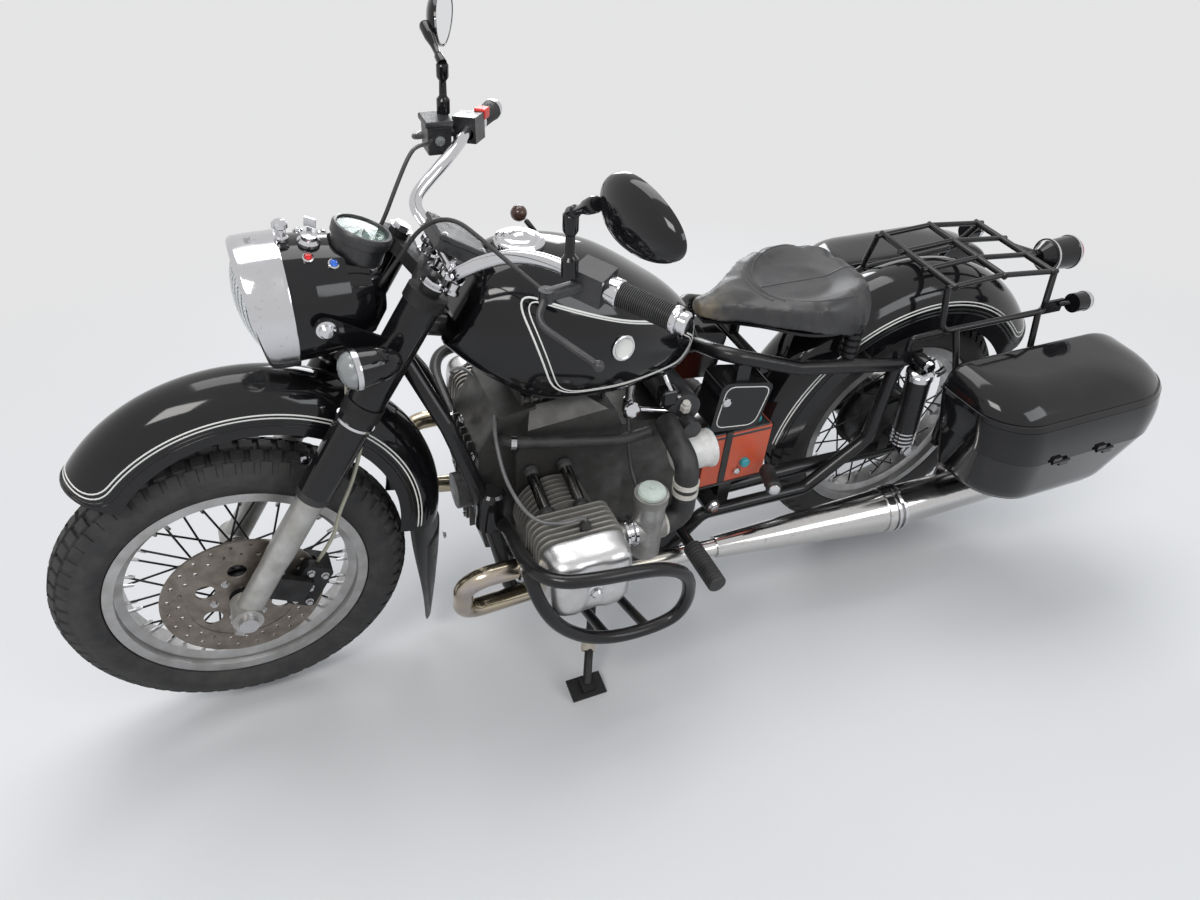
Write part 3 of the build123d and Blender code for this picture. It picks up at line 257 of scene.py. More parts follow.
def worn_leather(name):
    """Dark saddle leather, rubbed to tan along the seat's rim, with a pebbled grain."""
    material, nodes, links, bsdf, place = shader(name)
    flat = nodes.new("ShaderNodeVectorMath")
    flat.operation = "MULTIPLY"
    flat.inputs[1].default_value = (0.75, 1.0, 0.15)
    seat_middle = BIKE @ Vector((0.34, 0, 0.76))
    links.new(counted_from(nodes, links, place, seat_middle), flat.inputs[0])
    rim = stretch(nodes, links, length_of(nodes, links, flat.outputs["Vector"]), 0.132, 0.170, 0, 1)
    scuffs = stretch(nodes, links, noise(nodes, links, place, 16, 8, 0.65), 0.44, 0.66, 0, 1)
    rubbed = combined(nodes, links, "MULTIPLY", rim, scuffs)
    hide = blended(nodes, links, scuffs, (0.026, 0.026, 0.028), (0.048, 0.046, 0.045))
    links.new(blended(nodes, links, rubbed, hide, (0.15, 0.125, 0.085)), bsdf.inputs["Base Color"])
    links.new(stretch(nodes, links, scuffs, 0, 1, 0.34, 0.58), bsdf.inputs["Roughness"])
    pebbles = nodes.new("ShaderNodeTexVoronoi")
    pebbles.feature = "DISTANCE_TO_EDGE"
    pebbles.inputs["Scale"].default_value = 330
    links.new(place, pebbles.inputs["Vector"])
    bumped(nodes, links, bsdf, pebbles.outputs["Distance"], 0.5, 0.0008)
    return material


def clear(name, colour, gloss=0.04, weight=1.0, bending=1.5):
    """Glass or tinted plastic. Its weight says how much light goes through, its bending how it reflects."""
    material, nodes, links, bsdf, place = shader(name)
    haze = noise(nodes, links, place, 60, 3)
    bsdf.inputs["Base Color"].default_value = (*colour, 1)
    links.new(stretch(nodes, links, haze, 0.4, 0.8, gloss, gloss + 0.06), bsdf.inputs["Roughness"])
    bsdf.inputs["Transmission Weight"].default_value = weight
    bsdf.inputs["IOR"].default_value = bending
    return material


BLACK = (0.006, 0.006, 0.007)
black_enamel = painted("black_enamel", BLACK, 0.05, (0.06, 0.14), 0.22)
black_lid = painted("black_pannier_gloss", BLACK, 0.04, (0.05, 0.12), 0.22)
black_frame = painted("black_frame_paint", (0.008, 0.008, 0.009), 0.12, (0.18, 0.34), 0.15)
cream_line = painted("cream_pinstripe", (0.70, 0.70, 0.66), 0.05, (0.3, 0.4), 0.2)
chrome = plated("chrome", (0.64, 0.64, 0.66))
dark_chrome = plated("dark_chrome", (0.16, 0.155, 0.15), (0.12, 0.3), worn=0.5)
dull_chrome = plated("dull_chrome", (0.55, 0.55, 0.56), (0.16, 0.36), worn=0.6)
exhaust_chrome = heated_chrome("heated_exhaust_chrome")
silencer_chrome = plated("silencer_chrome", (0.60, 0.59, 0.58), (0.08, 0.28), (0.22, 0.17, 0.12), 0.5)
dark_casting = cast("dark_casting", (0.125, 0.122, 0.118), (0.070, 0.067, 0.063), (0.36, 0.52))
barrel_casting = cast("barrel_casting", (0.33, 0.315, 0.295), (0.19, 0.18, 0.165), (0.42, 0.60), 0.6)
head_casting = cast("head_casting", (0.50, 0.485, 0.46), (0.30, 0.28, 0.25), (0.40, 0.58), 0.65)
cover_alloy = cast("cover_alloy", (0.70, 0.70, 0.71), (0.52, 0.51, 0.50), (0.24, 0.38), 0.9, 500, 0.10)
slider_alloy = cast(
    "scuffed_fork_alloy", (0.50, 0.50, 0.49), (0.33, 0.32, 0.30), (0.34, 0.55), 0.8, 240, 0.2
)
rim_alloy = cast("dull_rim_alloy", (0.50, 0.50, 0.50), (0.35, 0.34, 0.33), (0.28, 0.44), 0.9, 180, 0.08)
carb_alloy = cast("carburettor_alloy", (0.42, 0.42, 0.41), (0.16, 0.15, 0.14))
dark_metal = cast("dark_metal", (0.035, 0.035, 0.036), (0.012, 0.012, 0.012), (0.35, 0.6), 0.6)
disc_steel = turned_steel(
    "drilled_disc_steel", FRONT_AXLE, ACROSS, (0.27, 0.24, 0.21), (0.17, 0.145, 0.125)
)
tyre_rubber = moulded("tyre_rubber", (0.016, 0.016, 0.017), (0.050, 0.047, 0.043), (0.62, 0.9), 180, 0.3)
black_rubber = moulded("black_rubber", (0.014, 0.014, 0.015), (0.045, 0.043, 0.040))
flap_rubber = moulded("flap_rubber", (0.012, 0.012, 0.013), (0.030, 0.029, 0.028), (0.35, 0.6), 120, 0.15)
grip_rubber = moulded("grip_rubber", (0.014, 0.014, 0.014), (0.04, 0.04, 0.04), (0.45, 0.7))
pale_rubber = moulded("pale_rubber", (0.42, 0.38, 0.31), (0.30, 0.27, 0.22))
black_plastic = moulded("black_plastic", (0.018, 0.018, 0.020), (0.05, 0.05, 0.05), (0.3, 0.55), 400, 0.1)
grey_lead = moulded("grey_lead", (0.10, 0.10, 0.10), (0.16, 0.155, 0.15), (0.35, 0.5), 300, 0.05)
filter_drum = moulded("filter_drum_white", (0.66, 0.65, 0.63), (0.46, 0.45, 0.42), (0.3, 0.5), 90, 0.05)
pale_hose = moulded("pale_hose", (0.36, 0.35, 0.27), (0.30, 0.29, 0.24), (0.25, 0.4), 300, 0.03)
pale_band = moulded("pale_hose_band", (0.55, 0.53, 0.48), (0.38, 0.36, 0.32), (0.35, 0.55))
grey_cap = moulded("grey_green_cap", (0.46, 0.52, 0.47), (0.32, 0.34, 0.31), (0.4, 0.6))
battery_red = moulded("battery_red", (0.55, 0.085, 0.035), (0.42, 0.10, 0.06), (0.35, 0.6), 300, 0.08)
terminal_teal = moulded("terminal_teal", (0.03, 0.30, 0.34), (0.06, 0.25, 0.27), (0.3, 0.5))
dial_face = moulded("dial_face", (0.085, 0.115, 0.105), (0.06, 0.08, 0.075), (0.4, 0.5), 200, 0.05)
dial_mark = moulded("dial_marks", (0.60, 0.63, 0.56), (0.50, 0.52, 0.47), (0.4, 0.5), 200, 0.05)
white_enamel = painted("white_enamel", (0.75, 0.74, 0.70), 0.05, (0.15, 0.3), 0.5)
knob_brown = painted("brown_knob", (0.055, 0.026, 0.018), 0.1, (0.1, 0.2), 0.4)
leather = worn_leather("worn_saddle_leather")
lamp_glass = clear("lamp_glass", (0.93, 0.96, 0.97))
dial_glass = clear("dial_glass", (0.80, 0.88, 0.86), 0.05, 1.0, 1.15)
clear_lens = clear("clear_indicator_lens", (0.85, 0.88, 0.88), 0.05, 0.75)
red_jewel = clear("red_jewel", (0.75, 0.02, 0.02), 0.05, 0.5)
blue_jewel = clear("blue_jewel", (0.05, 0.20, 0.80), 0.05, 0.5)
red_switch = moulded("red_switch", (0.70, 0.03, 0.02), (0.60, 0.05, 0.03), (0.35, 0.5), 300, 0.05)
red_lens = clear("red_lens", (0.40, 0.015, 0.012), 0.08, 0.3)
mirror_glass = plated("mirror_glass", (0.85, 0.86, 0.88), (0.01, 0.03), worn=0.0)

NODE_FINISH = {
    "frame": black_frame, "swingarm": black_frame, "rear_axle": dull_chrome, "engine_case": dark_casting,
    "cylinder_barrels": barrel_casting, "cylinder_heads": head_casting, "rocker_covers": cover_alloy,
    "carburettors": carb_alloy, "intake_hoses": black_rubber, "air_filter": black_plastic,
    "exhaust_headers": exhaust_chrome, "silencers": silencer_chrome, "horn": black_plastic,
    "fuel_tank": black_enamel, "tank_cap": chrome, "saddle": leather, "saddle_base": black_frame,
    "tool_boxes": black_enamel, "battery": battery_red, "crash_bars": black_frame,
    "foot_controls": dark_metal, "shock_absorbers": black_frame, "rear_mudguard": black_enamel,
    "luggage_rack": black_frame, "rear_lamps": black_enamel, "pannier_boxes": black_lid,
    "pannier_lid_left": black_lid, "pannier_lid_right": black_lid, "side_stand": dark_metal,
    "fork_sliders": slider_alloy, "fork_covers": black_enamel, "fork_yokes": dark_metal,
    "front_axle": dull_chrome, "brake_caliper": dark_metal, "front_mudguard": black_enamel,
    "mud_flap": black_rubber, "headlamp": black_enamel, "headlamp_rim": chrome,
    "headlamp_glass": lamp_glass, "speedometer": black_plastic, "handlebar": chrome, "grips": grip_rubber,
    "hand_controls": black_plastic, "mirrors": black_plastic, "front_indicators": black_plastic,
    "front_rim": rim_alloy, "front_hub": dark_metal, "brake_disc": disc_steel, "rear_rim": rim_alloy,
    "rear_hub": dark_metal, "front_tyre": tyre_rubber, "rear_tyre": tyre_rubber,
}
for node, finish in NODE_FINISH.items():
    frame["nodes"][node].data.materials.clear()
    frame["nodes"][node].data.materials.append(finish)


# Meshes

def at(x, y, z):
    """A point of the upright motorcycle, in millimetres, where it stands in the model."""
    return BIKE @ (Vector((x, y, z)) * MILLIMETRE)


def way(x, y, z):
    """A direction of the upright motorcycle, as it lies in the model."""
    return BIKE.to_3x3() @ Vector((x, y, z))


def on_fork(x, y, z):
    """A point given along the fork, in millimetres, where it stands in the model."""
    return ON_FORK @ (Vector((x, y, z)) * MILLIMETRE)


def fork_way(x, y, z):
    """A direction given along the fork, as it lies in the model."""
    return BIKE.to_3x3() @ FORK.to_3x3() @ Vector((x, y, z))


def both_sides(spot, aim):
    """A spot (x, y, z) in mm and the way that it looks, on the left and mirrored on the right."""
    (x, y, z), (ahead, out, up) = spot, aim
    return [(at(x, side * y, z), way(ahead, side * out, up)) for side, _ in SIDES]


def both_legs(x, y, z):
    """A spot on each leg of the fork, looking up along it."""
    return [(on_fork(x, side * y, z), fork_way(0, 0, 1)) for side, _ in SIDES]


def piece(name, mesh, finish, body, place=None, smooth=True):
    """A finished piece: its mesh put in place, shaded, given its material and set riding."""
    if place is not None:
        mesh.transform(place)
    if smooth:
        mesh.shade_smooth()
    if finish is not None:
        mesh.materials.clear()
        mesh.materials.append(finish)
    made = bpy.data.objects.new(name, mesh)
    bpy.context.scene.collection.objects.link(made)
    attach(made, body)
    return made


def mesh_cleaned(mesh):
    """The mesh with its doubled points merged and its faces looking outwards."""
    shape = bmesh.new()
    shape.from_mesh(mesh)
    bmesh.ops.remove_doubles(shape, verts=shape.verts, dist=1e-6)
    bmesh.ops.recalc_face_normals(shape, faces=shape.faces)
    shape.to_mesh(mesh)
    shape.free()
    return mesh


def mesh_from(name, points, faces):
    """A clean mesh from its points and the faces between them."""
    mesh = bpy.data.meshes.new(name)
    mesh.from_pydata([tuple(p) for p in points], [], faces)
    return mesh_cleaned(mesh)


def mesh_of(holder):
    """What an object's curve, text or modifiers make, as a mesh."""
    return bpy.data.meshes.new_from_object(holder.evaluated_get(bpy.context.evaluated_depsgraph_get()))


def ring_faces(rings, size, first=0):
    """Faces between closed rings of points, each ring after the other from the first point on."""
    faces = []
    for ring in range(rings - 1):
        for step in range(size):
            a, b = first + ring * size + step, first + ring * size + (step + 1) % size
            faces.append((a, b, b + size, a + size))
    return faces


def joined(name, meshes):
    """Several meshes as one."""
    shape = bmesh.new()
    for mesh in meshes:
        shape.from_mesh(mesh)
    whole = bpy.data.meshes.new(name)
    shape.to_mesh(whole)
    shape.free()
    return whole


def spun(name, profile, steps=64, closed=True):
    """A profile of points (y, r) turned about the Y axis."""
    points, faces = [], []
    count = len(profile)
    for i in range(steps):
        turn = tau * i / steps
        for y, r in profile:
            points.append((r * sin(turn), y, r * cos(turn)))
    spans = count if closed else count - 1
    for i in range(steps):
        nxt = (i + 1) % steps
        for j in range(spans):
            k = (j + 1) % count
            faces.append((i * count + j, i * count + k, nxt * count + k, nxt * count + j))
    return mesh_from(name, points, faces)


def lathe(name, profile, steps=48):
    """A profile of points (r, z), from axis to axis, turned about the Z axis."""
    points, faces = [], []
    count = len(profile)
    for i in range(steps):
        turn = tau * i / steps
        for r, z in profile:
            points.append((r * cos(turn), r * sin(turn), z))
    for i in range(steps):
        nxt = (i + 1) % steps
        for j in range(count - 1):
            faces.append((i * count + j, nxt * count + j, nxt * count + j + 1, i * count + j + 1))
    return mesh_from(name, points, faces)


def aimed(origin, direction):
    """A place whose Z axis looks along a direction."""
    turn = Vector(direction).normalized().to_track_quat("Z", "Y").to_matrix().to_4x4()
    return Matrix.Translation(origin) @ turn


def bar_along(name, points, radius, steps=16):
    """A round bar whose middle follows a smooth line through its points."""
    curve = bpy.data.curves.new(name, "CURVE")
    curve.dimensions = "3D"
    spline = curve.splines.new("NURBS")
    spline.points.add(len(points) - 1)
    for point, place in zip(spline.points, points):
        point.co = (*place, 1)
    spline.order_u = 3
    spline.use_endpoint_u = True
    spline.resolution_u = 10
    curve.bevel_depth = radius
    curve.bevel_resolution = max(1, steps // 4 - 1)
    curve.use_fill_caps = True
    holder = bpy.data.objects.new(name, curve)
    bpy.context.scene.collection.objects.link(holder)
    mesh = mesh_of(holder)
    bpy.data.objects.remove(holder)
    return mesh_cleaned(mesh)


# Node trees for what repeats

def tree_with(name, inputs):
    """A tree that takes a mesh and some named inputs, each of a kind, and gives a mesh."""
    tree = bpy.data.node_groups.new(name, "GeometryNodeTree")
    for label, kind in (("Geometry", "Geometry"), *inputs):
        tree.interface.new_socket(label, in_out="INPUT", socket_type="NodeSocket" + kind)
    tree.interface.new_socket("Geometry", in_out="OUTPUT", socket_type="NodeSocketGeometry")
    return tree, tree.nodes, tree.links


def finish_copies(nodes, links, copies, source, result):
    """The copies made real, given their material and handed to the tree's output."""
    real = nodes.new("GeometryNodeRealizeInstances")
    links.new(copies.outputs["Instances"], real.inputs["Geometry"])
    finish = nodes.new("GeometryNodeSetMaterial")
    links.new(real.outputs["Geometry"], finish.inputs["Geometry"])
    links.new(source.outputs["Finish"], finish.inputs["Material"])
    links.new(finish.outputs["Geometry"], result.inputs["Geometry"])


def repeat_tree(name):
    """Copies of a piece turned about the Y axis, with inputs for their number, first turn and material."""
    inputs = (("Copies", "Int"), ("First turn", "Float"), ("Finish", "Material"))
    tree, nodes, links = tree_with(name, inputs)
    source, result = nodes.new("NodeGroupInput"), nodes.new("NodeGroupOutput")
    row = nodes.new("GeometryNodeMeshLine")
    row.inputs["Offset"].default_value = (0, 0, 0)
    links.new(source.outputs["Copies"], row.inputs["Count"])
    step = combined(nodes, links, "DIVIDE", tau, source.outputs["Copies"])
    index = nodes.new("GeometryNodeInputIndex").outputs[0]
    turn = combined(nodes, links, "MULTIPLY_ADD", index, step, source.outputs["First turn"])
    about_y = nodes.new("ShaderNodeCombineXYZ")
    links.new(turn, about_y.inputs["Y"])
    copies = nodes.new("GeometryNodeInstanceOnPoints")
    links.new(row.outputs["Mesh"], copies.inputs["Points"])
    links.new(source.outputs["Geometry"], copies.inputs["Instance"])
    links.new(about_y.outputs["Vector"], copies.inputs["Rotation"])
    finish_copies(nodes, links, copies, source, result)
    return tree


def bolt_tree(name):
    """A hexagon head on a washer at each point, looking along the point's own aim."""
    inputs = (
        ("Head radius", "Float"), ("Head height", "Float"), ("Sides", "Int"), ("Finish", "Material"),
    )
    tree, nodes, links = tree_with(name, inputs)
    source, result = nodes.new("NodeGroupInput"), nodes.new("NodeGroupOutput")

    def scaled(socket, factor):
        return combined(nodes, links, "MULTIPLY", socket, factor)

    def raised(mesh, height):
        move = nodes.new("GeometryNodeTransform")
        lift = nodes.new("ShaderNodeCombineXYZ")
        links.new(height, lift.inputs["Z"])
        links.new(lift.outputs["Vector"], move.inputs["Translation"])
        links.new(mesh, move.inputs["Geometry"])
        return move.outputs["Geometry"]

    def round_block(sides, radius, depth):
        block = nodes.new("GeometryNodeMeshCylinder")
        if isinstance(sides, int):
            block.inputs["Vertices"].default_value = sides
        else:
            links.new(sides, block.inputs["Vertices"])
        links.new(radius, block.inputs["Radius"])
        links.new(depth, block.inputs["Depth"])
        return block.outputs["Mesh"]

    radius, height = source.outputs["Head radius"], source.outputs["Head height"]
    head = raised(round_block(source.outputs["Sides"], radius, height), scaled(height, 0.55))
    washer = raised(round_block(24, scaled(radius, 1.35), scaled(height, 0.3)), scaled(height, 0.1))
    both = nodes.new("GeometryNodeJoinGeometry")
    links.new(head, both.inputs["Geometry"])
    links.new(washer, both.inputs["Geometry"])
    aim = nodes.new("GeometryNodeInputNamedAttribute")
    aim.data_type = "FLOAT_VECTOR"
    aim.inputs["Name"].default_value = "aim"
    align = nodes.new("FunctionNodeAlignRotationToVector")
    align.axis = "Z"
    links.new(aim.outputs["Attribute"], align.inputs["Vector"])
    copies = nodes.new("GeometryNodeInstanceOnPoints")
    links.new(source.outputs["Geometry"], copies.inputs["Points"])
    links.new(both.outputs["Geometry"], copies.inputs["Instance"])
    links.new(align.outputs["Rotation"], copies.inputs["Rotation"])
    finish_copies(nodes, links, copies, source, result)
    return tree


def grown(mesh, tree, **values):
    """The mesh that a tree makes from another, with its named inputs set."""
    holder = bpy.data.objects.new("holder", mesh)
    bpy.context.scene.collection.objects.link(holder)
    modifier = holder.modifiers.new("tree", "NODES")
    modifier.node_group = tree
    identifiers = {s.name: s.identifier for s in tree.interface.items_tree if s.in_out == "INPUT"}
    for label, value in values.items():
        modifier[identifiers[label.replace("_", " ")]] = value
    made = mesh_of(holder)
    bpy.data.objects.remove(holder)
    return made


ROUND_THE_WHEEL = repeat_tree("copies_round_an_axle")
BOLTS = bolt_tree("bolt_heads")


def bolts(name, spots, radius, height, body, finish=None, sides=6):
    """Bolt heads at spots, each a point and the way that it looks, in the model's frame."""
    points = bpy.data.meshes.new(name + "_points")
    points.from_pydata([tuple(p) for p, _ in spots], [], [])
    aims = points.attributes.new("aim", "FLOAT_VECTOR", "POINT")
    for item, (_, aim) in zip(aims.data, spots):
        item.vector = Vector(aim).normalized()
    finish = finish or chrome
    heads = grown(points, BOLTS, Head_radius=radius, Head_height=height, Sides=sides, Finish=finish)
    return piece(name, heads, finish, body, smooth=False)


# Tyres: a carcass with rows of tread blocks

# the faces of a block: its points run through one side first, then through the other in the same order
BLOCK_FACES = [(0, 1, 3, 2), (4, 6, 7, 5), (0, 4, 5, 1), (2, 3, 7, 6), (0, 2, 6, 4), (1, 5, 7, 3)]
TREAD_DEPTH = 0.006
TREAD_ROWS = (
    # distance from the middle, half length round the tyre, half width, blocks, half step
    (0.000, 0.0120, 0.0105, 62, 0.0),
    (0.0235, 0.0120, 0.0085, 62, 0.5),
    (-0.0235, 0.0120, 0.0085, 62, 0.5),
    (0.0410, 0.0105, 0.0060, 62, 0.0),
    (-0.0410, 0.0105, 0.0060, 62, 0.0),
)


def crown_radius(y, depth=0.0):
    """Radius of the tyre's round crown beside its middle."""
    return TYRE_R - TYRE_HALF_W - depth + (TYRE_HALF_W ** 2 - min(abs(y), TYRE_HALF_W) ** 2) ** 0.5


def tread_block(name, y, half_l, half_w):
    """One block of tread, with sloping sides, on top of the crown."""
    top, foot = [], []
    for dy in (-half_w, half_w):
        for dx in (-half_l, half_l):
            top.append((dx * 0.88, y + dy * 0.9, crown_radius(y + dy * 0.9) - 0.0002))
            foot.append((dx, y + dy, crown_radius(y + dy, TREAD_DEPTH) - 0.003))
    return mesh_from(name, foot + top, BLOCK_FACES)


def dressed_tyre(name, axle, body, node):
    """A tyre with its tread, in place of the smooth one."""
    seat_r, bead_y, flange_r = 0.2183, 0.0337, 0.234
    wall = TYRE_HALF_W - 0.0005
    profile = [(bead_y, seat_r), (bead_y, flange_r), (bead_y + 0.006, flange_r + 0.001),
               (wall - 0.006, flange_r + 0.009), (wall - 0.001, flange_r + 0.020)]
    steps, drawn_in = 14, 0.004
    crown_centre = TYRE_R - TYRE_HALF_W - TREAD_DEPTH + drawn_in
    for i in range(steps + 1):
        turn = pi * i / steps
        profile.append((wall * cos(turn), crown_centre + (TYRE_HALF_W - drawn_in) * sin(turn)))
    mirrored = [(-y, r) for y, r in reversed(profile[:5])]
    carcass = spun(name, profile + mirrored, 144)
    rows = [carcass]
    for y, half_l, half_w, count, shift in TREAD_ROWS:
        block = tread_block("block", y, half_l, half_w)
        turn = tau / count * shift
        rows.append(grown(block, ROUND_THE_WHEEL, Copies=count, First_turn=turn, Finish=tyre_rubber))
    place = Matrix.Translation(axle) @ BIKE.to_3x3().to_4x4()
    whole = piece(name, joined(name, rows), tyre_rubber, body, place)
    whole.data.shade_smooth()
    sharp_by_angle(whole.data, 35)
    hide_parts(node)
    return whole


def sharp_by_angle(mesh, degrees):
    """Edges over an angle are kept crisp."""
    shape = bmesh.new()
    shape.from_mesh(mesh)
    for edge in shape.edges:
        if len(edge.link_faces) == 2:
            edge.smooth = edge.calc_face_angle(0) < radians(degrees)
    shape.to_mesh(mesh)
    shape.free()


dressed_tyre("front_tyre_with_tread", FRONT_AXLE, "front_wheel", "front_tyre")
dressed_tyre("rear_tyre_with_tread", REAR_AXLE, "rear_wheel", "rear_tyre")


# Lines laid on painted panels

def skin_of(mesh):
    """The skin of a mesh, for finding what lies under a point."""
    return BVHTree.FromPolygons(
        [v.co for v in mesh.vertices], [tuple(p.vertices) for p in mesh.polygons]
    )


def surface(node):
    """The skin of a CAD node, for finding what lies under a point."""
    mesh = frame["nodes"][node].data
    mesh.calc_loop_triangles()
    return BVHTree.FromPolygons(
        [v.co for v in mesh.vertices], [tuple(t.vertices) for t in mesh.loop_triangles]
    )


def rounded_path(corners, radius, spacing, closed):
    """Points along straight runs whose corners are rounded by arcs."""
    corners = [Vector(c) for c in corners]
    count = len(corners)
    dense = []
    for i in range(count):
        here = corners[i]
        if not closed and i in (0, count - 1):
            dense.append(here)
            continue
        before, after = corners[i - 1], corners[(i + 1) % count]
        to_before, to_after = (before - here).normalized(), (after - here).normalized()
        reach = min(radius, (before - here).length * 0.45, (after - here).length * 0.45)
        start, end = here + to_before * reach, here + to_after * reach
        for step in range(9):
            t = step / 8
            dense.append(start * (1 - t) ** 2 + here * 2 * t * (1 - t) + end * t ** 2)
    if closed:
        dense.append(dense[0])
    points = [dense[0]]
    for a, b in zip(dense, dense[1:]):
        runs = max(1, round((b - a).length / spacing))
        for k in range(1, runs + 1):
            points.append(a.lerp(b, k / runs))
    if closed:
        points.pop()
    return points


def band_mesh(name, path, section, closed=False):
    """A band along places, each a point and its normal, with a section of points (across, up) in mm."""
    count, across_count = len(path), len(section)
    points, faces = [], []
    for i, (here, normal) in enumerate(path):
        before = path[i - 1][0] if closed or i else here
        after = path[(i + 1) % count][0] if closed or i < count - 1 else here
        across = (after - before).normalized().cross(normal).normalized()
        points += [here + (across * a + normal * up) * MILLIMETRE for a, up in section]
    for i in range(count if closed else count - 1):
        a, b = i * across_count, (i + 1) % count * across_count
        for j in range(across_count):
            k = (j + 1) % across_count
            faces.append((a + j, a + k, b + k, b + j))
    if not closed:
        last = (count - 1) * across_count
        faces += [tuple(range(across_count)), tuple(range(last, last + across_count))]
    return mesh_from(name, points, faces)


def line_section(width):
    """A painted line, a hair proud of its panel."""
    return [(-width / 2, -0.5), (-width / 2, 0.35), (width / 2, 0.35), (width / 2, -0.5)]


def bead_section(radius):
    """A raised half-round rib."""
    arc = [(radius * cos(pi * i / 6), radius * sin(pi * i / 6) - 0.2) for i in range(7)]
    return arc + [(-radius, -1), (radius, -1)]


def dropped(skin, path, aim, back=0.25, beyond=0.4):
    """Places on a skin under each point of a path, looking along an aim from a little way back."""
    aim = Vector(aim).normalized()
    places = []
    for point in path:
        hit, normal, _, _ = skin.ray_cast(point - aim * back, aim, back + beyond)
        if hit is not None:
            places.append((hit, normal if normal.dot(aim) < 0 else -normal))
    return places


# Painted lines and ribs on the mudguards

GUARDS = {
    # node: centre x, centre z, crown radius, half width, from and to angle above the X axis
    "front_mudguard": (1443, 438, 333, 62, 34, 192),
    "rear_mudguard": (20, 330, 422, 84, 9, 146),
}


def guard_place(node, turn, s):
    """A place on a mudguard: an angle above the X axis, and a way in mm from the crown down its side."""
    x, z, crown, half_w, _, _ = GUARDS[node]
    drop = half_w * 0.8
    round_r = (half_w ** 2 + drop ** 2) / (2 * drop)
    edge = asin(half_w / round_r)
    side, beyond = (1 if s > 0 else -1), abs(s) - round_r * edge
    if beyond <= 0:
        bend = s / round_r
        y, r = round_r * sin(bend), crown - round_r + round_r * cos(bend)
        normal_y, normal_r = sin(bend), cos(bend)
    else:
        y, r = side * (half_w + beyond / 40), crown - drop - beyond
        normal_y, normal_r = side, 0
    out = (cos(radians(turn)), sin(radians(turn)))
    normal = way(normal_r * out[0], normal_y, normal_r * out[1]).normalized()
    return at(x + r * out[0], y, z + r * out[1]), normal


def guard_line(name, node, body, s, tip_gap, tip_turn, far_turn, section, finish):
    """A line round a mudguard: up one side, across behind its tip and back along the other side."""
    crown = GUARDS[node][2]
    sense = 1 if far_turn > tip_turn else -1
    tip = radians(tip_turn) * crown + sense * tip_gap
    far = radians(far_turn) * crown
    corners = [(far, s, 0), (tip, s, 0), (tip, -s, 0), (far, -s, 0)]
    path = rounded_path(corners, 42, 7, False)
    places = [guard_place(node, (spot[0] / crown) * 180 / pi, spot[1]) for spot in path]
    return piece(name, band_mesh(name, places, section), finish, body)


for number, (s, gap, section, finish) in enumerate((
    (84, 22, line_section(2.6), cream_line), (90.5, 15, line_section(2.6), cream_line),
    (99, 9, bead_section(1.6), black_enamel), (106, 5, bead_section(1.6), black_enamel),
)):
    guard_line(
        f"front_guard_line_{number}", "front_mudguard", "fork", s, gap, 34, 190, section, finish,
    )
for number, (s, gap, section, finish) in enumerate((
    (106, 24, line_section(2.8), cream_line), (113, 16, line_section(2.8), cream_line),
    (123, 10, bead_section(1.8), black_enamel), (131, 5, bead_section(1.8), black_enamel),
)):
    guard_line(
        f"rear_guard_line_{number}", "rear_mudguard", "chassis", s, gap, 146, 11, section, finish,
    )


# Fuel tank and its filler cap

TANK_SECTIONS = (
    # x, half width, bottom z, top z
    (1100, 40, 788, 846), (1084, 62, 772, 872), (1030, 104, 728, 908), (940, 140, 680, 931),
    (810, 147, 668, 901), (690, 113, 664, 828), (632, 78, 668, 782), (602, 45, 676, 744),
    (592, 24, 688, 722),
)
# the tunnel follows the frame's tube between two points (x, z), and the front is cut this far behind
# the line of the fork through the front axle (x, z)
BACKBONE = ((575, 655), (1139, 809))
AXLE_X, AXLE_Z = 1500, 315
TANK_FRONT = -101


def between(rows, t):
    """A smooth value of a table of rows at t, counted in rows."""
    last = len(rows) - 1
    i = min(int(t), last - 1)
    a, b, c, d = rows[max(i - 1, 0)], rows[i], rows[i + 1], rows[min(i + 2, last)]
    s = t - i
    return [
        0.5 * (2 * b[k] + (c[k] - a[k]) * s + (2 * a[k] - 5 * b[k] + 4 * c[k] - d[k]) * s * s
               + (3 * b[k] - a[k] - 3 * c[k] + d[k]) * s ** 3)
        for k in range(len(b))
    ]


def tank_outline(x, half_w, low, high):
    """Points (y, z) round a section, from the tunnel's left edge up over the top to its right edge."""
    (x0, z0), (x1, z1) = BACKBONE
    tunnel = min(z0 + (x - x0) * (z1 - z0) / (x1 - x0) + 24, high - 12)
    groove = min(26, half_w * 0.5)
    left = [(0, tunnel), (groove, tunnel), (groove, low + 1), (groove + 3, low), (half_w * 0.74, low)]
    for i in range(1, 9):
        turn = radians(-90 + 90 * i / 8)
        left.append((half_w * (0.74 + 0.26 * cos(turn)), low + (high - low) * 0.40 * (1 + sin(turn))))
    for i in range(1, 15):
        turn = radians(90 * i / 14)
        left.append((half_w * cos(turn) ** 0.86, low + (high - low) * (0.40 + 0.60 * sin(turn) ** 1.06)))
    return left[:-1] + [(0, high)] + [(-y, z) for y, z in reversed(left[1:-1])]


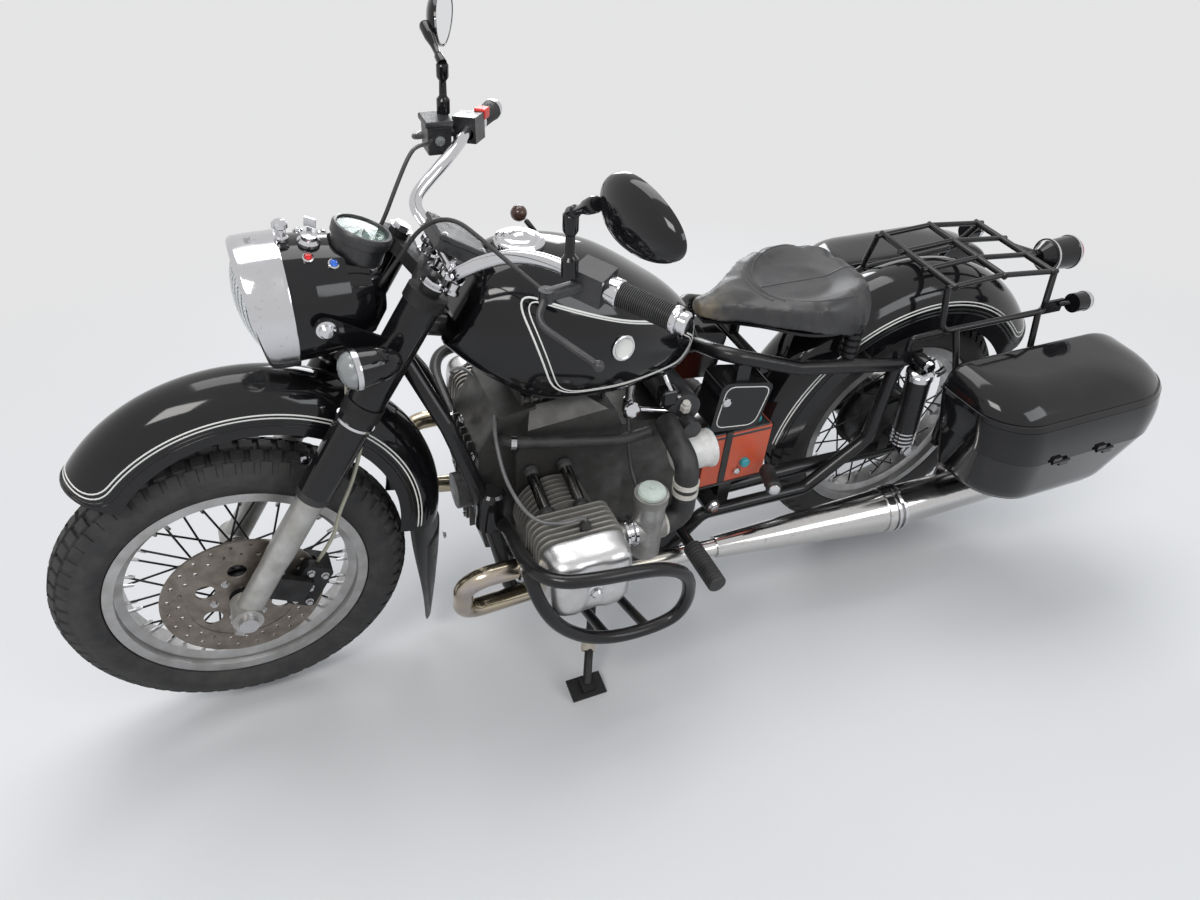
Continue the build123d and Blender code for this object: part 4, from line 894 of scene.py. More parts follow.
def tank_shell():
    """The teardrop tank with its tunnel, cut back in front along the steering axis."""
    rings_count = 56
    points = []
    last = len(TANK_SECTIONS) - 1
    for ring in range(rings_count + 1):
        x, half_w, low, high = between(TANK_SECTIONS, last * ring / rings_count)
        outline = tank_outline(x, half_w, low, high)
        for y, z in outline:
            ahead_of_cut = (x - AXLE_X) * cos(RAKE) + (z - AXLE_Z) * sin(RAKE) - TANK_FRONT
            points.append(Vector((x - max(0, ahead_of_cut) / cos(RAKE), y, z)) * MILLIMETRE)
    size = len(outline)
    faces = ring_faces(rings_count + 1, size)
    faces += [tuple(range(size)), tuple(range(rings_count * size, (rings_count + 1) * size))]
    return mesh_from("tank_shell", points, faces)


tank = piece("teardrop_tank", tank_shell(), black_enamel, "chassis", BIKE)
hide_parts("fuel_tank")


# Tank panels with their double lines, a plain ring badge, and the tool boxes' lines

TANK_PANEL = [(990, 896), (926, 700), (652, 690), (612, 716), (700, 790)]
TOOL_PANEL = [(560, 630), (456, 609), (479, 518), (573, 531)]
BESIDE_TANK = 170
ENAMEL_R = 0.0186


def side_panel_line(name, skin, corners, side, inset, radius, width):
    """A closed line on a side panel, through corners (x, z) that are moved in towards their middle."""
    middle = sum((Vector((x, 0, z)) for x, z in corners), Vector()) / len(corners)
    spots = [middle + (Vector((x, 0, z)) - middle) * (1 - inset) for x, z in corners]
    path = [at(p.x, side * BESIDE_TANK, p.z) for p in rounded_path(spots, radius, 6, True)]
    places = dropped(skin, path, way(0, -side, 0))
    return piece(
        name, band_mesh(name, places, line_section(width), True), cream_line, "chassis"
    )


tank_skin = skin_of(tank.data)
box_skin = surface("tool_boxes")
for side, word in SIDES:
    side_panel_line(f"tank_line_outer_{word}", tank_skin, TANK_PANEL, side, 0.0, 46, 3.4)
    side_panel_line(f"tank_line_inner_{word}", tank_skin, TANK_PANEL, side, 0.058, 40, 2.4)
    side_panel_line(f"tool_box_line_{word}", box_skin, TOOL_PANEL, side, 0.0, 22, 2.4)
    badge_place = dropped(tank_skin, [at(806, side * BESIDE_TANK, 782)], way(0, -side, 0))[0]
    badge = lathe("badge", [(0, 0), (24, 0), (24, 2.5), (21, 3.6), (18.5, 3), (18, 2.2), (0, 2.6)], 64)
    badge.transform(Matrix.Scale(MILLIMETRE, 4))
    ring_badge = piece(f"tank_ring_badge_{word}", badge, chrome, "chassis", aimed(*badge_place))
    ring_badge.data.materials.append(white_enamel)
    for face in ring_badge.data.polygons:
        near = (face.center - badge_place[0]).length
        if near < ENAMEL_R and face.normal.dot(badge_place[1]) > 0.9:
            face.material_index = 1


def round_part(name, profile, spot, aim, finish, body, slot, steps=32):
    """A turned piece, from points (r, z) in mm, standing at a spot and looking along an aim."""
    shape = lathe(name, profile, steps)
    shape.transform(Matrix.Scale(MILLIMETRE, 4))
    made = piece(name, shape, finish, body, aimed(spot, aim))
    sharp_by_angle(made.data, 32)
    return made


def round_parts(name, profile, spots, finish, body, steps=32):
    """The same turned piece at several spots, as one."""
    meshes = []
    for spot, aim in spots:
        shape = lathe(name, profile, steps)
        shape.transform(aimed(spot, aim) @ Matrix.Scale(MILLIMETRE, 4))
        meshes.append(shape)
    made = piece(name, joined(name, meshes), finish, body)
    sharp_by_angle(made.data, 32)
    return made


def bars(name, runs, radius, finish, body, steps=16):
    """Round bars or leads, each along its own points, as one."""
    meshes = [bar_along(name, points, radius * MILLIMETRE, steps) for points in runs]
    return piece(name, joined(name, meshes), finish, body)


def boxes(name, rows, finish, body, place=BIKE, edge=2.0):
    """Blocks with rounded edges, each from (x, y, z) low to high in mm, in the frame of a place."""
    shape = bmesh.new()
    for low, high in rows:
        low, high = Vector(low) * MILLIMETRE, Vector(high) * MILLIMETRE
        made = bmesh.ops.create_cube(shape, size=1)["verts"]
        for vertex in made:
            vertex.co = (low + high) / 2 + vertex.co * (high - low)
    bmesh.ops.bevel(
        shape, geom=shape.edges[:], offset=edge * MILLIMETRE, segments=3, affect="EDGES", profile=0.5
    )
    mesh = bpy.data.meshes.new(name)
    shape.to_mesh(mesh)
    shape.free()
    return piece(name, mesh, finish, body, place, smooth=False)


cap_rows = [
    (0, -10), (40, -10), (40, 3), (43, 4), (43, 9), (41, 12), (37, 13.5), (32, 13.5), (30, 15.5),
    (24, 17.5), (17, 18), (15, 19.5), (12, 22), (6, 24), (0, 24.5)
]
filler_cap = round_part(
    "filler_cap", cap_rows, at(947, 0, 926), way(-0.05, 0, 1), chrome, "chassis", "chrome", 64
)
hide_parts("tank_cap")


# Saddle: a stuffed leather pad

def saddle_form():
    """The saddle before it is stuffed: broad behind, narrow at the nose and drawn in a little."""
    outline = [
        (584, 0), (582, 18), (572, 25), (540, 40), (500, 66), (466, 92), (430, 118), (390, 138),
        (345, 148), (300, 147), (255, 132), (226, 108), (208, 72), (200, 36), (198, 0)
    ]
    outline += [(x, -y) for x, y in reversed(outline[1:-1])]
    low, high = 722, 750
    count = len(outline)
    points = [(x, y * 0.97, low) for x, y in outline] + [(x, y * 0.97, high) for x, y in outline]
    faces = [tuple(range(count)), tuple(range(count, 2 * count))]
    faces += [(i, (i + 1) % count, count + (i + 1) % count, count + i) for i in range(count)]
    return mesh_from("saddle_form", [Vector(p) * MILLIMETRE for p in points], faces)


HELD_BELOW = 0.7235


def stuffed(name, mesh, voxel, pressure, cap):
    """A pad blown up gently from a thinner one, no point moving further than the cap."""
    pad = bpy.data.objects.new(name, mesh)
    bpy.context.scene.collection.objects.link(pad)
    remesh = pad.modifiers.new("remesh", "REMESH")
    remesh.mode = "VOXEL"
    remesh.voxel_size = voxel
    flat = mesh_of(pad)
    pad.modifiers.clear()
    pad.data = flat
    start = [v.co.copy() for v in flat.vertices]
    held = pad.vertex_groups.new(name="held")
    held.add([v.index for v in flat.vertices if v.co.z < HELD_BELOW], 1.0, "REPLACE")
    cloth = pad.modifiers.new("cloth", "CLOTH")
    cloth.settings.use_pressure = True
    cloth.settings.uniform_pressure_force = pressure
    cloth.settings.effector_weights.gravity = 0
    cloth.settings.vertex_group_mass = "held"
    cloth.settings.tension_stiffness = 12
    cloth.settings.bending_stiffness = 3
    scene = bpy.context.scene
    cloth.point_cache.frame_start, cloth.point_cache.frame_end = 1, 20
    for moment in range(1, 21):
        scene.frame_set(moment)
    blown = mesh_of(pad)
    pad.modifiers.clear()
    for before, vertex in zip(start, blown.vertices):
        moved = vertex.co - before
        if moved.length > cap:
            vertex.co = before + moved.normalized() * cap
    pad.data = blown
    scene.frame_set(1)
    return pad


pad = stuffed("saddle_pad", saddle_form(), 0.006, 4.0, 0.016)
crown = pad.data
for vertex in crown.vertices:
    # dished in its middle, with a rolled rim that droops at its edge
    reach = (((vertex.co.x - 0.365) / 0.190) ** 2 + (vertex.co.y / 0.150) ** 2) ** 0.5
    behind_nose = max(0, min(1, (0.56 - vertex.co.x) / 0.08))
    if vertex.co.z > 0.735:
        vertex.co.z += behind_nose * (0.024 * max(0, min(1, (reach - 0.45) / 0.35)) - 0.006)
    vertex.co.z -= behind_nose * 0.036 * max(0, min(1, (reach - 0.84) / 0.18)) ** 1.5
smooth = pad.modifiers.new("smooth", "SMOOTH")
smooth.factor, smooth.iterations = 0.5, 6
finer = pad.modifiers.new("finer", "SUBSURF")
finer.levels = finer.render_levels = 1
finished = mesh_of(pad)
bpy.data.objects.remove(pad)
saddle = piece("stuffed_saddle", finished, leather, "chassis", BIKE)
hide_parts("saddle")

saddle_skin = skin_of(saddle.data)
SEAM = [(-2.0, -0.8), (-1.5, 1.0), (1.5, 1.0), (2.0, -0.8)]
ABOVE = 830
bowl_turns = [radians(turn) for turn in range(0, 360, 4)]
bowl_line = [at(322 + 118 * cos(turn), 112 * sin(turn), ABOVE) for turn in bowl_turns]
nose_line = [at(446 - y ** 2 / 300, y, ABOVE) for y in range(-74, 75, 4)]
fold_line = [at(462 - y ** 2 / 260, y, ABOVE) for y in range(-62, 63, 4)]
middle_line = [at(x, 0, ABOVE) for x in range(206, 446, 6)]
seams = [band_mesh("seam", dropped(saddle_skin, bowl_line, way(0, 0, -1)), SEAM, True)]
for line in (nose_line, fold_line, middle_line):
    seams.append(band_mesh("seam", dropped(saddle_skin, line, way(0, 0, -1)), SEAM))
piece("saddle_seams", joined("saddle_seams", seams), leather, "chassis")


# Headlamp, its switches and the speedometer

LAMP_X, LAMP_Z, LAMP_R = 1391, 888, 105


def slanted(x, z):
    """The lamp's front is peaked: its top stands further forward than its bottom."""
    forward = max(0, min(1, (x - LAMP_X + 62) / 62))
    return x + forward * (-8 + 15 * z / LAMP_R)


def peaked_rim():
    """Deep chrome rim with a rolled lip, its front plane slanted."""
    rows = [
        (-62, 100), (-62, 105.5), (-59, 106.4), (-56, 105.6), (-30, 105.4), (-6, 104), (-1, 102), (2, 98),
        (2, 94), (-1, 91), (-6, 89.5), (-9, 91), (-9, 97), (-58, 100)
    ]
    mesh = spun("rim", rows, 96)
    for vertex in mesh.vertices:
        y, x, z = vertex.co.x, vertex.co.y, vertex.co.z
        vertex.co = at(slanted(LAMP_X + x, z), y, LAMP_Z + z)
    return mesh_cleaned(mesh)


def lamp_lens():
    """Thin domed lens with upright flutes on its inner face."""
    edge, rise, rings_count, steps = LAMP_R - 14.5, 27, 26, 96
    dome = (edge ** 2 + rise ** 2) / (2 * rise)
    points = []
    for skin in (0, 1):
        for ring in range(rings_count + 1):
            r = edge * ring / rings_count
            bulge = (dome ** 2 - r ** 2) ** 0.5 - (dome - rise)
            for step in range(steps):
                turn = tau * step / steps
                y, z = r * sin(turn), r * cos(turn)
                flute = 0.0 if skin == 0 else -4.0 + 0.9 * cos(y * tau / 11) * min(1, (edge - r) / 6)
                points.append(at(slanted(LAMP_X - 6 + bulge + flute, z), y, LAMP_Z + z))
    size = (rings_count + 1) * steps
    faces = ring_faces(rings_count + 1, steps) + ring_faces(rings_count + 1, steps, size)
    last = rings_count * steps
    for step in range(steps):
        a, b = last + step, last + (step + 1) % steps
        faces.append((a, b, b + size, a + size))
    return mesh_from("lens", points, faces)


rim = piece("headlamp_peaked_rim", peaked_rim(), chrome, "fork")
sharp_by_angle(rim.data, 40)
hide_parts("headlamp_rim")
lens = piece("headlamp_lens", lamp_lens(), lamp_glass, "fork")
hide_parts("headlamp_glass")
bowl = [
    (0, -64), (14, -64), (40, -56), (66, -42), (84, -26), (88, -25), (88, -29), (68, -46), (40, -61),
    (14, -68), (0, -68)
]
round_part("headlamp_reflector", bowl, at(LAMP_X, 0, LAMP_Z), way(1, 0, 0), chrome, "fork", "chrome", 64)
round_part(
    "headlamp_bulb", [(0, -64), (9, -64), (9, -46), (6, -38), (0, -36)], at(LAMP_X, 0, LAMP_Z),
    way(1, 0, 0), clear_lens, "fork", "glass"
)
screw_spots = [(at(LAMP_X - 22, 0, LAMP_Z + up * (LAMP_R - 1)), way(0, 0, up)) for up in (1, -1)]
bolts("headlamp_rim_screw", screw_spots, 0.0045, 0.006, "fork")
for side, word in SIDES:
    round_part(f"headlamp_bolt_{word}", [(0, 0), (15, 0), (15, 3), (11, 4), (11, 10), (8, 13), (0, 14)],
               on_fork(122, side * 113, 603), way(0, side, 0), chrome, "fork", "chrome")

lamp_skin = surface("headlamp")
down = way(0, 0, -1)


def on_lamp(x, y):
    """A place on top of the lamp's shell."""
    return dropped(lamp_skin, [at(x, y, 1010)], down)[0]


round_part(
    "lamp_switch_knob", [(0, 0), (11, 0), (11, 5), (8, 8), (8, 18), (12, 21), (12, 27), (8, 31), (0, 32)],
    *on_lamp(1322, 0), chrome, "fork", "chrome"
)
round_part(
    "ignition_switch", [(0, 0), (17, 0), (17, 5), (12, 9), (12, 15), (0, 17)], *on_lamp(1285, 14), chrome,
    "fork", "chrome"
)
key_place = aimed(*on_lamp(1285, 14)) @ Matrix.Rotation(0.6, 4, "Z")
boxes(
    "ignition_key", [((-1.2, -4, 14), (1.2, 4, 30)), ((-1.4, -9, 28), (1.4, 9, 44))], chrome, "fork",
    key_place, 0.8
)
for word, spot, jewel in (
    ("red", (1292, 44), red_jewel), ("blue", (1258, 52), blue_jewel), ("white", (1292, -44), clear_lens),
    ("green", (1258, -52), clear_lens)
):
    place = on_lamp(*spot)
    round_part(
        f"warning_lamp_ring_{word}", [(0, 0), (8.5, 0), (8.5, 3), (6.5, 4.5), (5.5, 3), (0, 3)], *place,
        chrome, "fork", "chrome"
    )
    round_part(
        f"warning_lamp_{word}", [(5.4, 2.8), (5.2, 4.4), (3.6, 6.2), (0, 7)], *place, jewel, "fork",
        "glass"
    )

DIAL_START, DIAL_SWEEP, DIAL_MARKS, DIAL_NUMBERS = -220, 260, 29, 8
DIAL_SPOT = Vector((1217, 0, LAMP_Z + LAMP_R - 44)) * MILLIMETRE
DIAL = BIKE @ Matrix.Translation(DIAL_SPOT) @ Matrix.Rotation(radians(-22), 4, "Y")
dial_at, dial_up = DIAL.translation, DIAL.to_3x3() @ Vector((0, 0, 1))
round_part(
    "speedometer_bezel", [(39, 37), (47.4, 37), (47.4, 41), (45, 45), (41, 45.5), (39.5, 42), (39, 37)],
    dial_at, dial_up, black_plastic, "fork", "plastic", 64
)
round_part(
    "speedometer_dial", [(0, 37.5), (40, 37.5), (40, 39), (0, 39)], dial_at, dial_up, dial_face, "fork",
    "plastic", 48
)
marks = []
for index in range(DIAL_MARKS):
    turn = radians(DIAL_START + index * DIAL_SWEEP / (DIAL_MARKS - 1))
    length, width = (3, 0.6) if index % 2 else (5, 0.9)
    mark = bmesh.new()
    bmesh.ops.create_cube(mark, size=1)
    for vertex in mark.verts:
        x, y, z = vertex.co
        vertex.co = Vector((x * length + 35 - length / 2, y * width, z * 0.3 + 39.1)) * MILLIMETRE
    made = bpy.data.meshes.new("mark")
    mark.to_mesh(made)
    mark.free()
    made.transform(DIAL @ Matrix.Rotation(-turn, 4, "Z"))
    marks.append(made)
for index in range(DIAL_NUMBERS):
    words = bpy.data.curves.new("number", "FONT")
    words.body = str(index * 20)
    words.size = 7.5 * MILLIMETRE
    words.align_x, words.align_y = "CENTER", "CENTER"
    words.extrude = 0.0002
    holder = bpy.data.objects.new("number", words)
    bpy.context.scene.collection.objects.link(holder)
    flat = mesh_of(holder)
    bpy.data.objects.remove(holder)
    turn = radians(DIAL_START + index * DIAL_SWEEP / (DIAL_NUMBERS - 1))
    spot = Vector((25 * cos(-turn), 25 * sin(-turn), 39.2)) * MILLIMETRE
    flat.transform(DIAL @ Matrix.Translation(spot) @ Matrix.Rotation(radians(90), 4, "Z"))
    marks.append(flat)
piece("speedometer_marks", joined("speedometer_marks", marks), dial_mark, "fork", smooth=False)
boxes(
    "speedometer_needle", [((-3, -0.8, 40), (30, 0.8, 41))], red_lens, "fork",
    DIAL @ Matrix.Rotation(radians(222), 4, "Z"), 0.2
)
round_part(
    "speedometer_hub", [(0, 39), (4, 39), (4, 42), (0, 43)], dial_at, dial_up, dial_mark, "fork",
    "plastic"
)
round_part(
    "speedometer_glass", [(0, 45), (39.4, 42.5), (39.4, 41.5), (0, 44)], dial_at, dial_up, dial_glass,
    "fork", "glass", 48
)


# Handlebar with its ribbed grips, collars and clamps, and the mirrors

BAR_BEND, BAR_END = Vector((934, 303, 1014)), Vector((858, 405, 1002))
CLAMP_X, CLAMP_Y, CLAMP_Z, BAR_R, LEG_Y = -46, 63, 742, 11, 98
along_bar = (BAR_BEND - BAR_END).normalized()
grip_profile = [(11.1, 11), (17, 11)]
for i in range(32):
    z = 13 + i * 3.1
    grip_profile += [(16.2, z), (18.2, z + 0.5), (18.2, z + 2.0), (16.2, z + 2.5)]
grip_profile += [(16.4, 112), (11.1, 112)]
grip_spots, cap_spots, collar_spots = [], [], []
for side, word in SIDES:
    mirror_y = Vector((1, side, 1))
    aim = way(*(along_bar * mirror_y))
    grip_spots.append((at(*(BAR_END * mirror_y)), aim))
    cap_spots.append((at(*((BAR_END + along_bar * 11) * mirror_y)), -aim))
    collar_spots.append((at(*((BAR_END + along_bar * 112) * mirror_y)), aim))
closed_grip = grip_profile + [grip_profile[0]]
grips = round_parts("ribbed_grips", closed_grip, grip_spots, grip_rubber, "fork", 32)
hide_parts("grips")
end_cap = [
    (0, -4), (19, -4), (20, -2), (20, 3), (18.5, 5), (14, 5.5), (14, 8), (16.5, 9), (16.5, 17), (13, 20),
    (0, 20.5)
]
round_parts("grip_end_caps", end_cap, cap_spots, chrome, "fork", 40)
collar = [
    (11.2, -15), (19, -15), (20.4, -13), (20.4, 3), (19.4, 5), (18.6, 6), (18.6, 11), (11.2, 11),
    (11.2, -15)
]
round_parts("grip_collars", collar, collar_spots, chrome, "fork", 40)

bent_half = [
    (1073, 44, 923.6), (1073, 76, 923.6), (1083, 98, 942), (1091, 117, 955), (1085, 134, 969),
    (1056, 150, 989), (1020, 174, 1007), (984, 216, 1016), (955, 268, 1016)
]
bent_half += [
    tuple(BAR_BEND), tuple(BAR_BEND.lerp(BAR_END, 0.12)), tuple(BAR_BEND.lerp(BAR_END, 0.5)),
    tuple(BAR_END)
]
whole_bar = [at(x, -y, z) for x, y, z in bent_half[::-1]] + [at(*spot) for spot in bent_half]
handlebar = bars("bent_handlebar", [whole_bar], BAR_R, chrome, "fork", 24)
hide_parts("handlebar")

riser = [(0, 0), (19, 0), (19, 3), (14.5, 6), (14.5, 18), (0, 18)]
round_parts("bar_risers", riser, both_legs(CLAMP_X, CLAMP_Y, 712), chrome, "fork")
clamp_boxes = []
for side in (1, -1):
    y = side * CLAMP_Y
    clamp_boxes += [((CLAMP_X - 15, y - 9, CLAMP_Z - 14), (CLAMP_X + 21, y + 9, CLAMP_Z - 0.8)),
                    ((CLAMP_X - 15, y - 9, CLAMP_Z + 0.8), (CLAMP_X + 21, y + 9, CLAMP_Z + 15))]
boxes("bar_clamps", clamp_boxes, chrome, "fork", ON_FORK, 3)
clamp_bolts = []
for x in (CLAMP_X - 10, CLAMP_X + 16):
    clamp_bolts += both_legs(x, CLAMP_Y, CLAMP_Z + 15)
bolts("bar_clamp_bolts", clamp_bolts, 0.0045, 0.006, "fork")
bolts("top_yoke_nuts", both_legs(0, LEG_Y, 724), 0.015, 0.008, "fork")
round_part(
    "steering_stem_nut", [(0, 0), (24, 0), (24, 5), (17, 8), (17, 20), (12, 26), (0, 27)],
    on_fork(-50, 0, 712), fork_way(0, 0, 1), chrome, "fork", "chrome"
)

MIRROR_AT = Vector((948, 420, 1172))
MIRROR_ELBOW, MIRROR_FOOT = Vector((985, 300, 1128)), Vector((985, 306, 1040))
MIRROR_LONG, MIRROR_SHORT = 80, 47


def oval_shell(back):
    """Shell of a mirror: a pointed oval bowl, open to the rider, in millimetres with its face along Z."""
    rings_count, steps = 14, 64
    turns = [pi / 2 * i / rings_count for i in range(rings_count + 1)]
    rows = [(sin(turn), -back * cos(turn)) for turn in turns]
    rows += [(1.0, 3.0), (0.955, 3.0), (0.94, 0.0)]
    points = []
    for share, z in rows:
        for step in range(steps):
            turn = tau * step / steps
            length = MIRROR_LONG * (1 + 0.06 * cos(turn))
            height = MIRROR_SHORT * (1 - 0.10 * cos(turn))
            points.append((share * length * cos(turn), share * height * sin(turn), z))
    faces = ring_faces(len(rows), steps)
    faces.append(tuple(range((len(rows) - 1) * steps, len(rows) * steps)))
    return mesh_from("mirror_shell", points, faces)


MIRROR_STEM = [
    (0, 0), (12, 0), (12, 26), (9, 30), (7, 34), (6.5, 62), (9, 66), (11, 70), (11, 92), (9, 95), (0, 95),
]
MIRROR_ARM = [(0, 0), (8.5, 0), (8.5, 12), (6, 15), (6.5, 30), (10, 44), (11, 62), (9, 66), (0, 66)]
mirror_parts, glass_parts = [], []
for side, inward in ((1, 0.2), (-1, 0.5)):
    mirrored = Vector((1, side, 1))
    centre = MIRROR_AT * mirrored
    rear = Vector((-1, -side * inward, 0.06)).normalized()
    along = Vector((-inward, side, 0)).normalized()
    turn = Matrix((way(*along), way(*rear.cross(along)), way(*rear))).transposed().to_4x4()
    place = Matrix.Translation(at(*centre)) @ turn @ Matrix.Scale(MILLIMETRE, 4)
    shell = oval_shell(26)
    shell.transform(place)
    mirror_parts.append(mesh_cleaned(shell))
    glass = lathe("glass", [(0, 1.0), (1, 1.0), (1, 2.2), (0, 2.2)], 64)
    glass.transform(place @ Matrix.Diagonal((MIRROR_LONG * 0.955, MIRROR_SHORT * 0.945, 1, 1)))
    glass_parts.append(mesh_cleaned(glass))
    elbow, foot = MIRROR_ELBOW * mirrored, MIRROR_FOOT * mirrored
    neck = centre - rear * 22 - along * 58
    for start, end, profile in ((foot, elbow, MIRROR_STEM), (elbow, neck, MIRROR_ARM)):
        limb = lathe("limb", profile, 24)
        limb.transform(Matrix.Scale(MILLIMETRE, 4))
        limb.transform(Matrix.Diagonal((1, 1, (end - start).length / profile[-1][1], 1)))
        limb.transform(aimed(at(*start), way(*(end - start))))
        mirror_parts.append(limb)
mirrors = piece("mirror_shells", joined("mirror_shells", mirror_parts), black_lid, "fork")
sharp_by_angle(mirrors.data, 34)
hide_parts("mirrors")
piece("mirror_glass", joined("mirror_glass", glass_parts), mirror_glass, "fork", smooth=False)

# Black box with its lid on top of the bar's clamps, and the red stop switch
boxes(
    "bar_box", [((-86, -40, 757), (-4, 40, 778)), ((-90, -44, 777), (0, 44, 786))], black_plastic, "fork",
    ON_FORK, 3
)
bolts(
    "bar_box_screws", [(on_fork(x, y, 786), fork_way(0, 0, 1)) for x in (-80, -10) for y in (-34, 34)],
    0.0035, 0.0025, "fork", dull_chrome
)
right_along = along_bar * Vector((1, -1, 1))
right_across = Vector((0, 0, 1)).cross(right_along).normalized()
right_axes = (right_along, right_across, right_along.cross(right_across))
right_turn = Matrix([way(*axis) for axis in right_axes]).transposed().to_4x4()
switch_place = Matrix.Translation(at(*(BAR_END * Vector((1, -1, 1)) + right_along * 106))) @ right_turn
boxes("stop_switch", [((-16, 0, 9), (12, 23, 28))], red_switch, "fork", switch_place, 3)
reservoir = [((982, -314, 978), (1026, -266, 1030)), ((978, -318, 1029), (1030, -262, 1040))]
boxes("brake_fluid_box", reservoir, black_plastic, "fork", BIKE, 3)
round_part(
    "brake_fluid_window", [(0, -2), (9, -2), (9, 1.5), (7, 2), (0, 2)], at(1004, -266, 1004),
    way(0, 1, 0), clear_lens, "fork", "glass"
)


# Fork, brake and front wheel fittings

cover_ring = [(31, 0), (33.2, 0), (33.2, 5), (31, 5), (31, 0)]
round_parts("fork_cover_rings", cover_ring, both_legs(0, LEG_Y, 452), chrome, "fork", 48)
seal = [(25, 0), (30.5, 0), (30.5, 10), (28.5, 14), (25, 14), (25, 0)]
round_parts("fork_seal_collars", seal, both_legs(0, LEG_Y, 286), black_rubber, "fork", 40)
caliper_holes = ((-108, 34), (-80, 34), (-108, 104), (-80, 104), (-94, 69))
caliper_spots = [(on_fork(x, 86, z), way(0, 1, 0)) for x, z in caliper_holes]
bolts("caliper_bolts", caliper_spots, 0.0055, 0.007, "fork", dull_chrome)
pinch_spots = [
    (on_fork(end * 9, side * LEG_Y, -30), fork_way(end, 0, 0)) for end in (1, -1) for side in (1, -1)
]
bolts("axle_pinch_bolts", pinch_spots, 0.006, 0.006, "fork", dull_chrome)
DISC_BOLTS, DISC_BOLT_R, DISC_FACE_Y = 6, 0.052, 0.0612
disc_spots = []
for i in range(DISC_BOLTS):
    turn = tau * i / DISC_BOLTS + 0.5
    spot = Vector((DISC_BOLT_R * sin(turn), DISC_FACE_Y, DISC_BOLT_R * cos(turn)))
    disc_spots.append((FRONT_AXLE + BIKE.to_3x3() @ spot, ACROSS))
bolts("disc_bolts", disc_spots, 0.0055, 0.005, "front_wheel", dull_chrome)
bolts("front_guard_bolts", both_sides((1350, 63, 612), (0, 1, 0)), 0.0065, 0.005, "fork")
hose = [
    on_fork(40, 60, 560), on_fork(34, 66, 480), on_fork(-30, 74, 440), on_fork(-58, 84, 340),
    on_fork(-66, 88, 250), on_fork(-90, 76, 190), on_fork(-90, 68, 118)
]
bars("brake_hose", [hose], 3.6, pale_hose, "fork")
cable_route = [
    (1012, 280, 1006), (1030, 235, 1014), (1062, 180, 1036), (1092, 120, 1052), (1128, 74, 1020),
    (1162, 56, 960), (1194, 50, 915),
]
cables = [[at(x, side * y, z) for x, y, z in cable_route] for side, _ in SIDES]
bars("control_cables", cables, 3.4, black_rubber, "fork")


def flap_sheet():
    """Black rubber flap: a tongue with its sides curved forward, narrowing to a point."""
    rows_count, columns = 24, 16
    points, faces = [], []
    for skin in (0, 2.6):
        for i in range(rows_count + 1):
            t = i / rows_count
            half_w = 68 * (1 - t ** 2.4) + 5
            x, z = 1116 + 40 * t ** 1.3, 356 - 318 * t
            for j in range(columns + 1):
                s = 2 * j / columns - 1
                curl = 34 * (abs(s) * half_w / 68) ** 2.2
                points.append(at(x + curl - skin, s * half_w, z - 12 * s * s * (1 - t)))
    size, row = (rows_count + 1) * (columns + 1), columns + 1
    for skin in (0, 1):
        for i in range(rows_count):
            for j in range(columns):
                a = skin * size + i * row + j
                faces.append((a, a + 1, a + 1 + row, a + row))
    edge = list(range(row)) + [i * row + columns for i in range(1, rows_count + 1)]
    edge += [rows_count * row + j for j in range(columns - 1, -1, -1)]
    edge += [i * row for i in range(rows_count - 1, 0, -1)]
    for a, b in zip(edge, edge[1:] + edge[:1]):
        faces.append((a, b, b + size, a + size))
    return mesh_from("flap", points, faces)


flap = piece("mud_flap_tongue", flap_sheet(), flap_rubber, "fork")
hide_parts("mud_flap")
flap_screws = [(at(1112, y, 318), way(-1, 0, 0)) for y in (-32, 32)]
bolts("flap_screws", flap_screws, 0.006, 0.004, "fork", dull_chrome)

SPOKES = 36


def nipples(name, axle, body):
    """Spoke nipples round the rim's well."""
    well, spots = 0.1978, []
    for i in range(SPOKES):
        turn = tau * i / SPOKES
        out = BIKE.to_3x3() @ Vector((sin(turn), 0, cos(turn)))
        side = 1 if i % 2 else -1
        spots.append((axle + out * (well - 0.0105) + ACROSS * side * 0.0056, -out))
    return round_parts(
        name, [(0, -11), (3.6, -11), (3.6, 3), (2.6, 8), (0, 8)], spots, dull_chrome, body, 8
    )


nipples("front_spoke_nipples", FRONT_AXLE, "front_wheel")
nipples("rear_spoke_nipples", REAR_AXLE, "rear_wheel")


# Engine

CYL_X, CRANK_Z = 920, 420


def squared(turn, half_l, half_h, corner):
    """A point (x, z) of a rounded rectangle, by its turn."""
    c, s = cos(turn), sin(turn)
    return (
        half_l * abs(c) ** corner * (1 if c > 0 else -1), half_h * abs(s) ** corner * (1 if s > 0 else -1)
    )


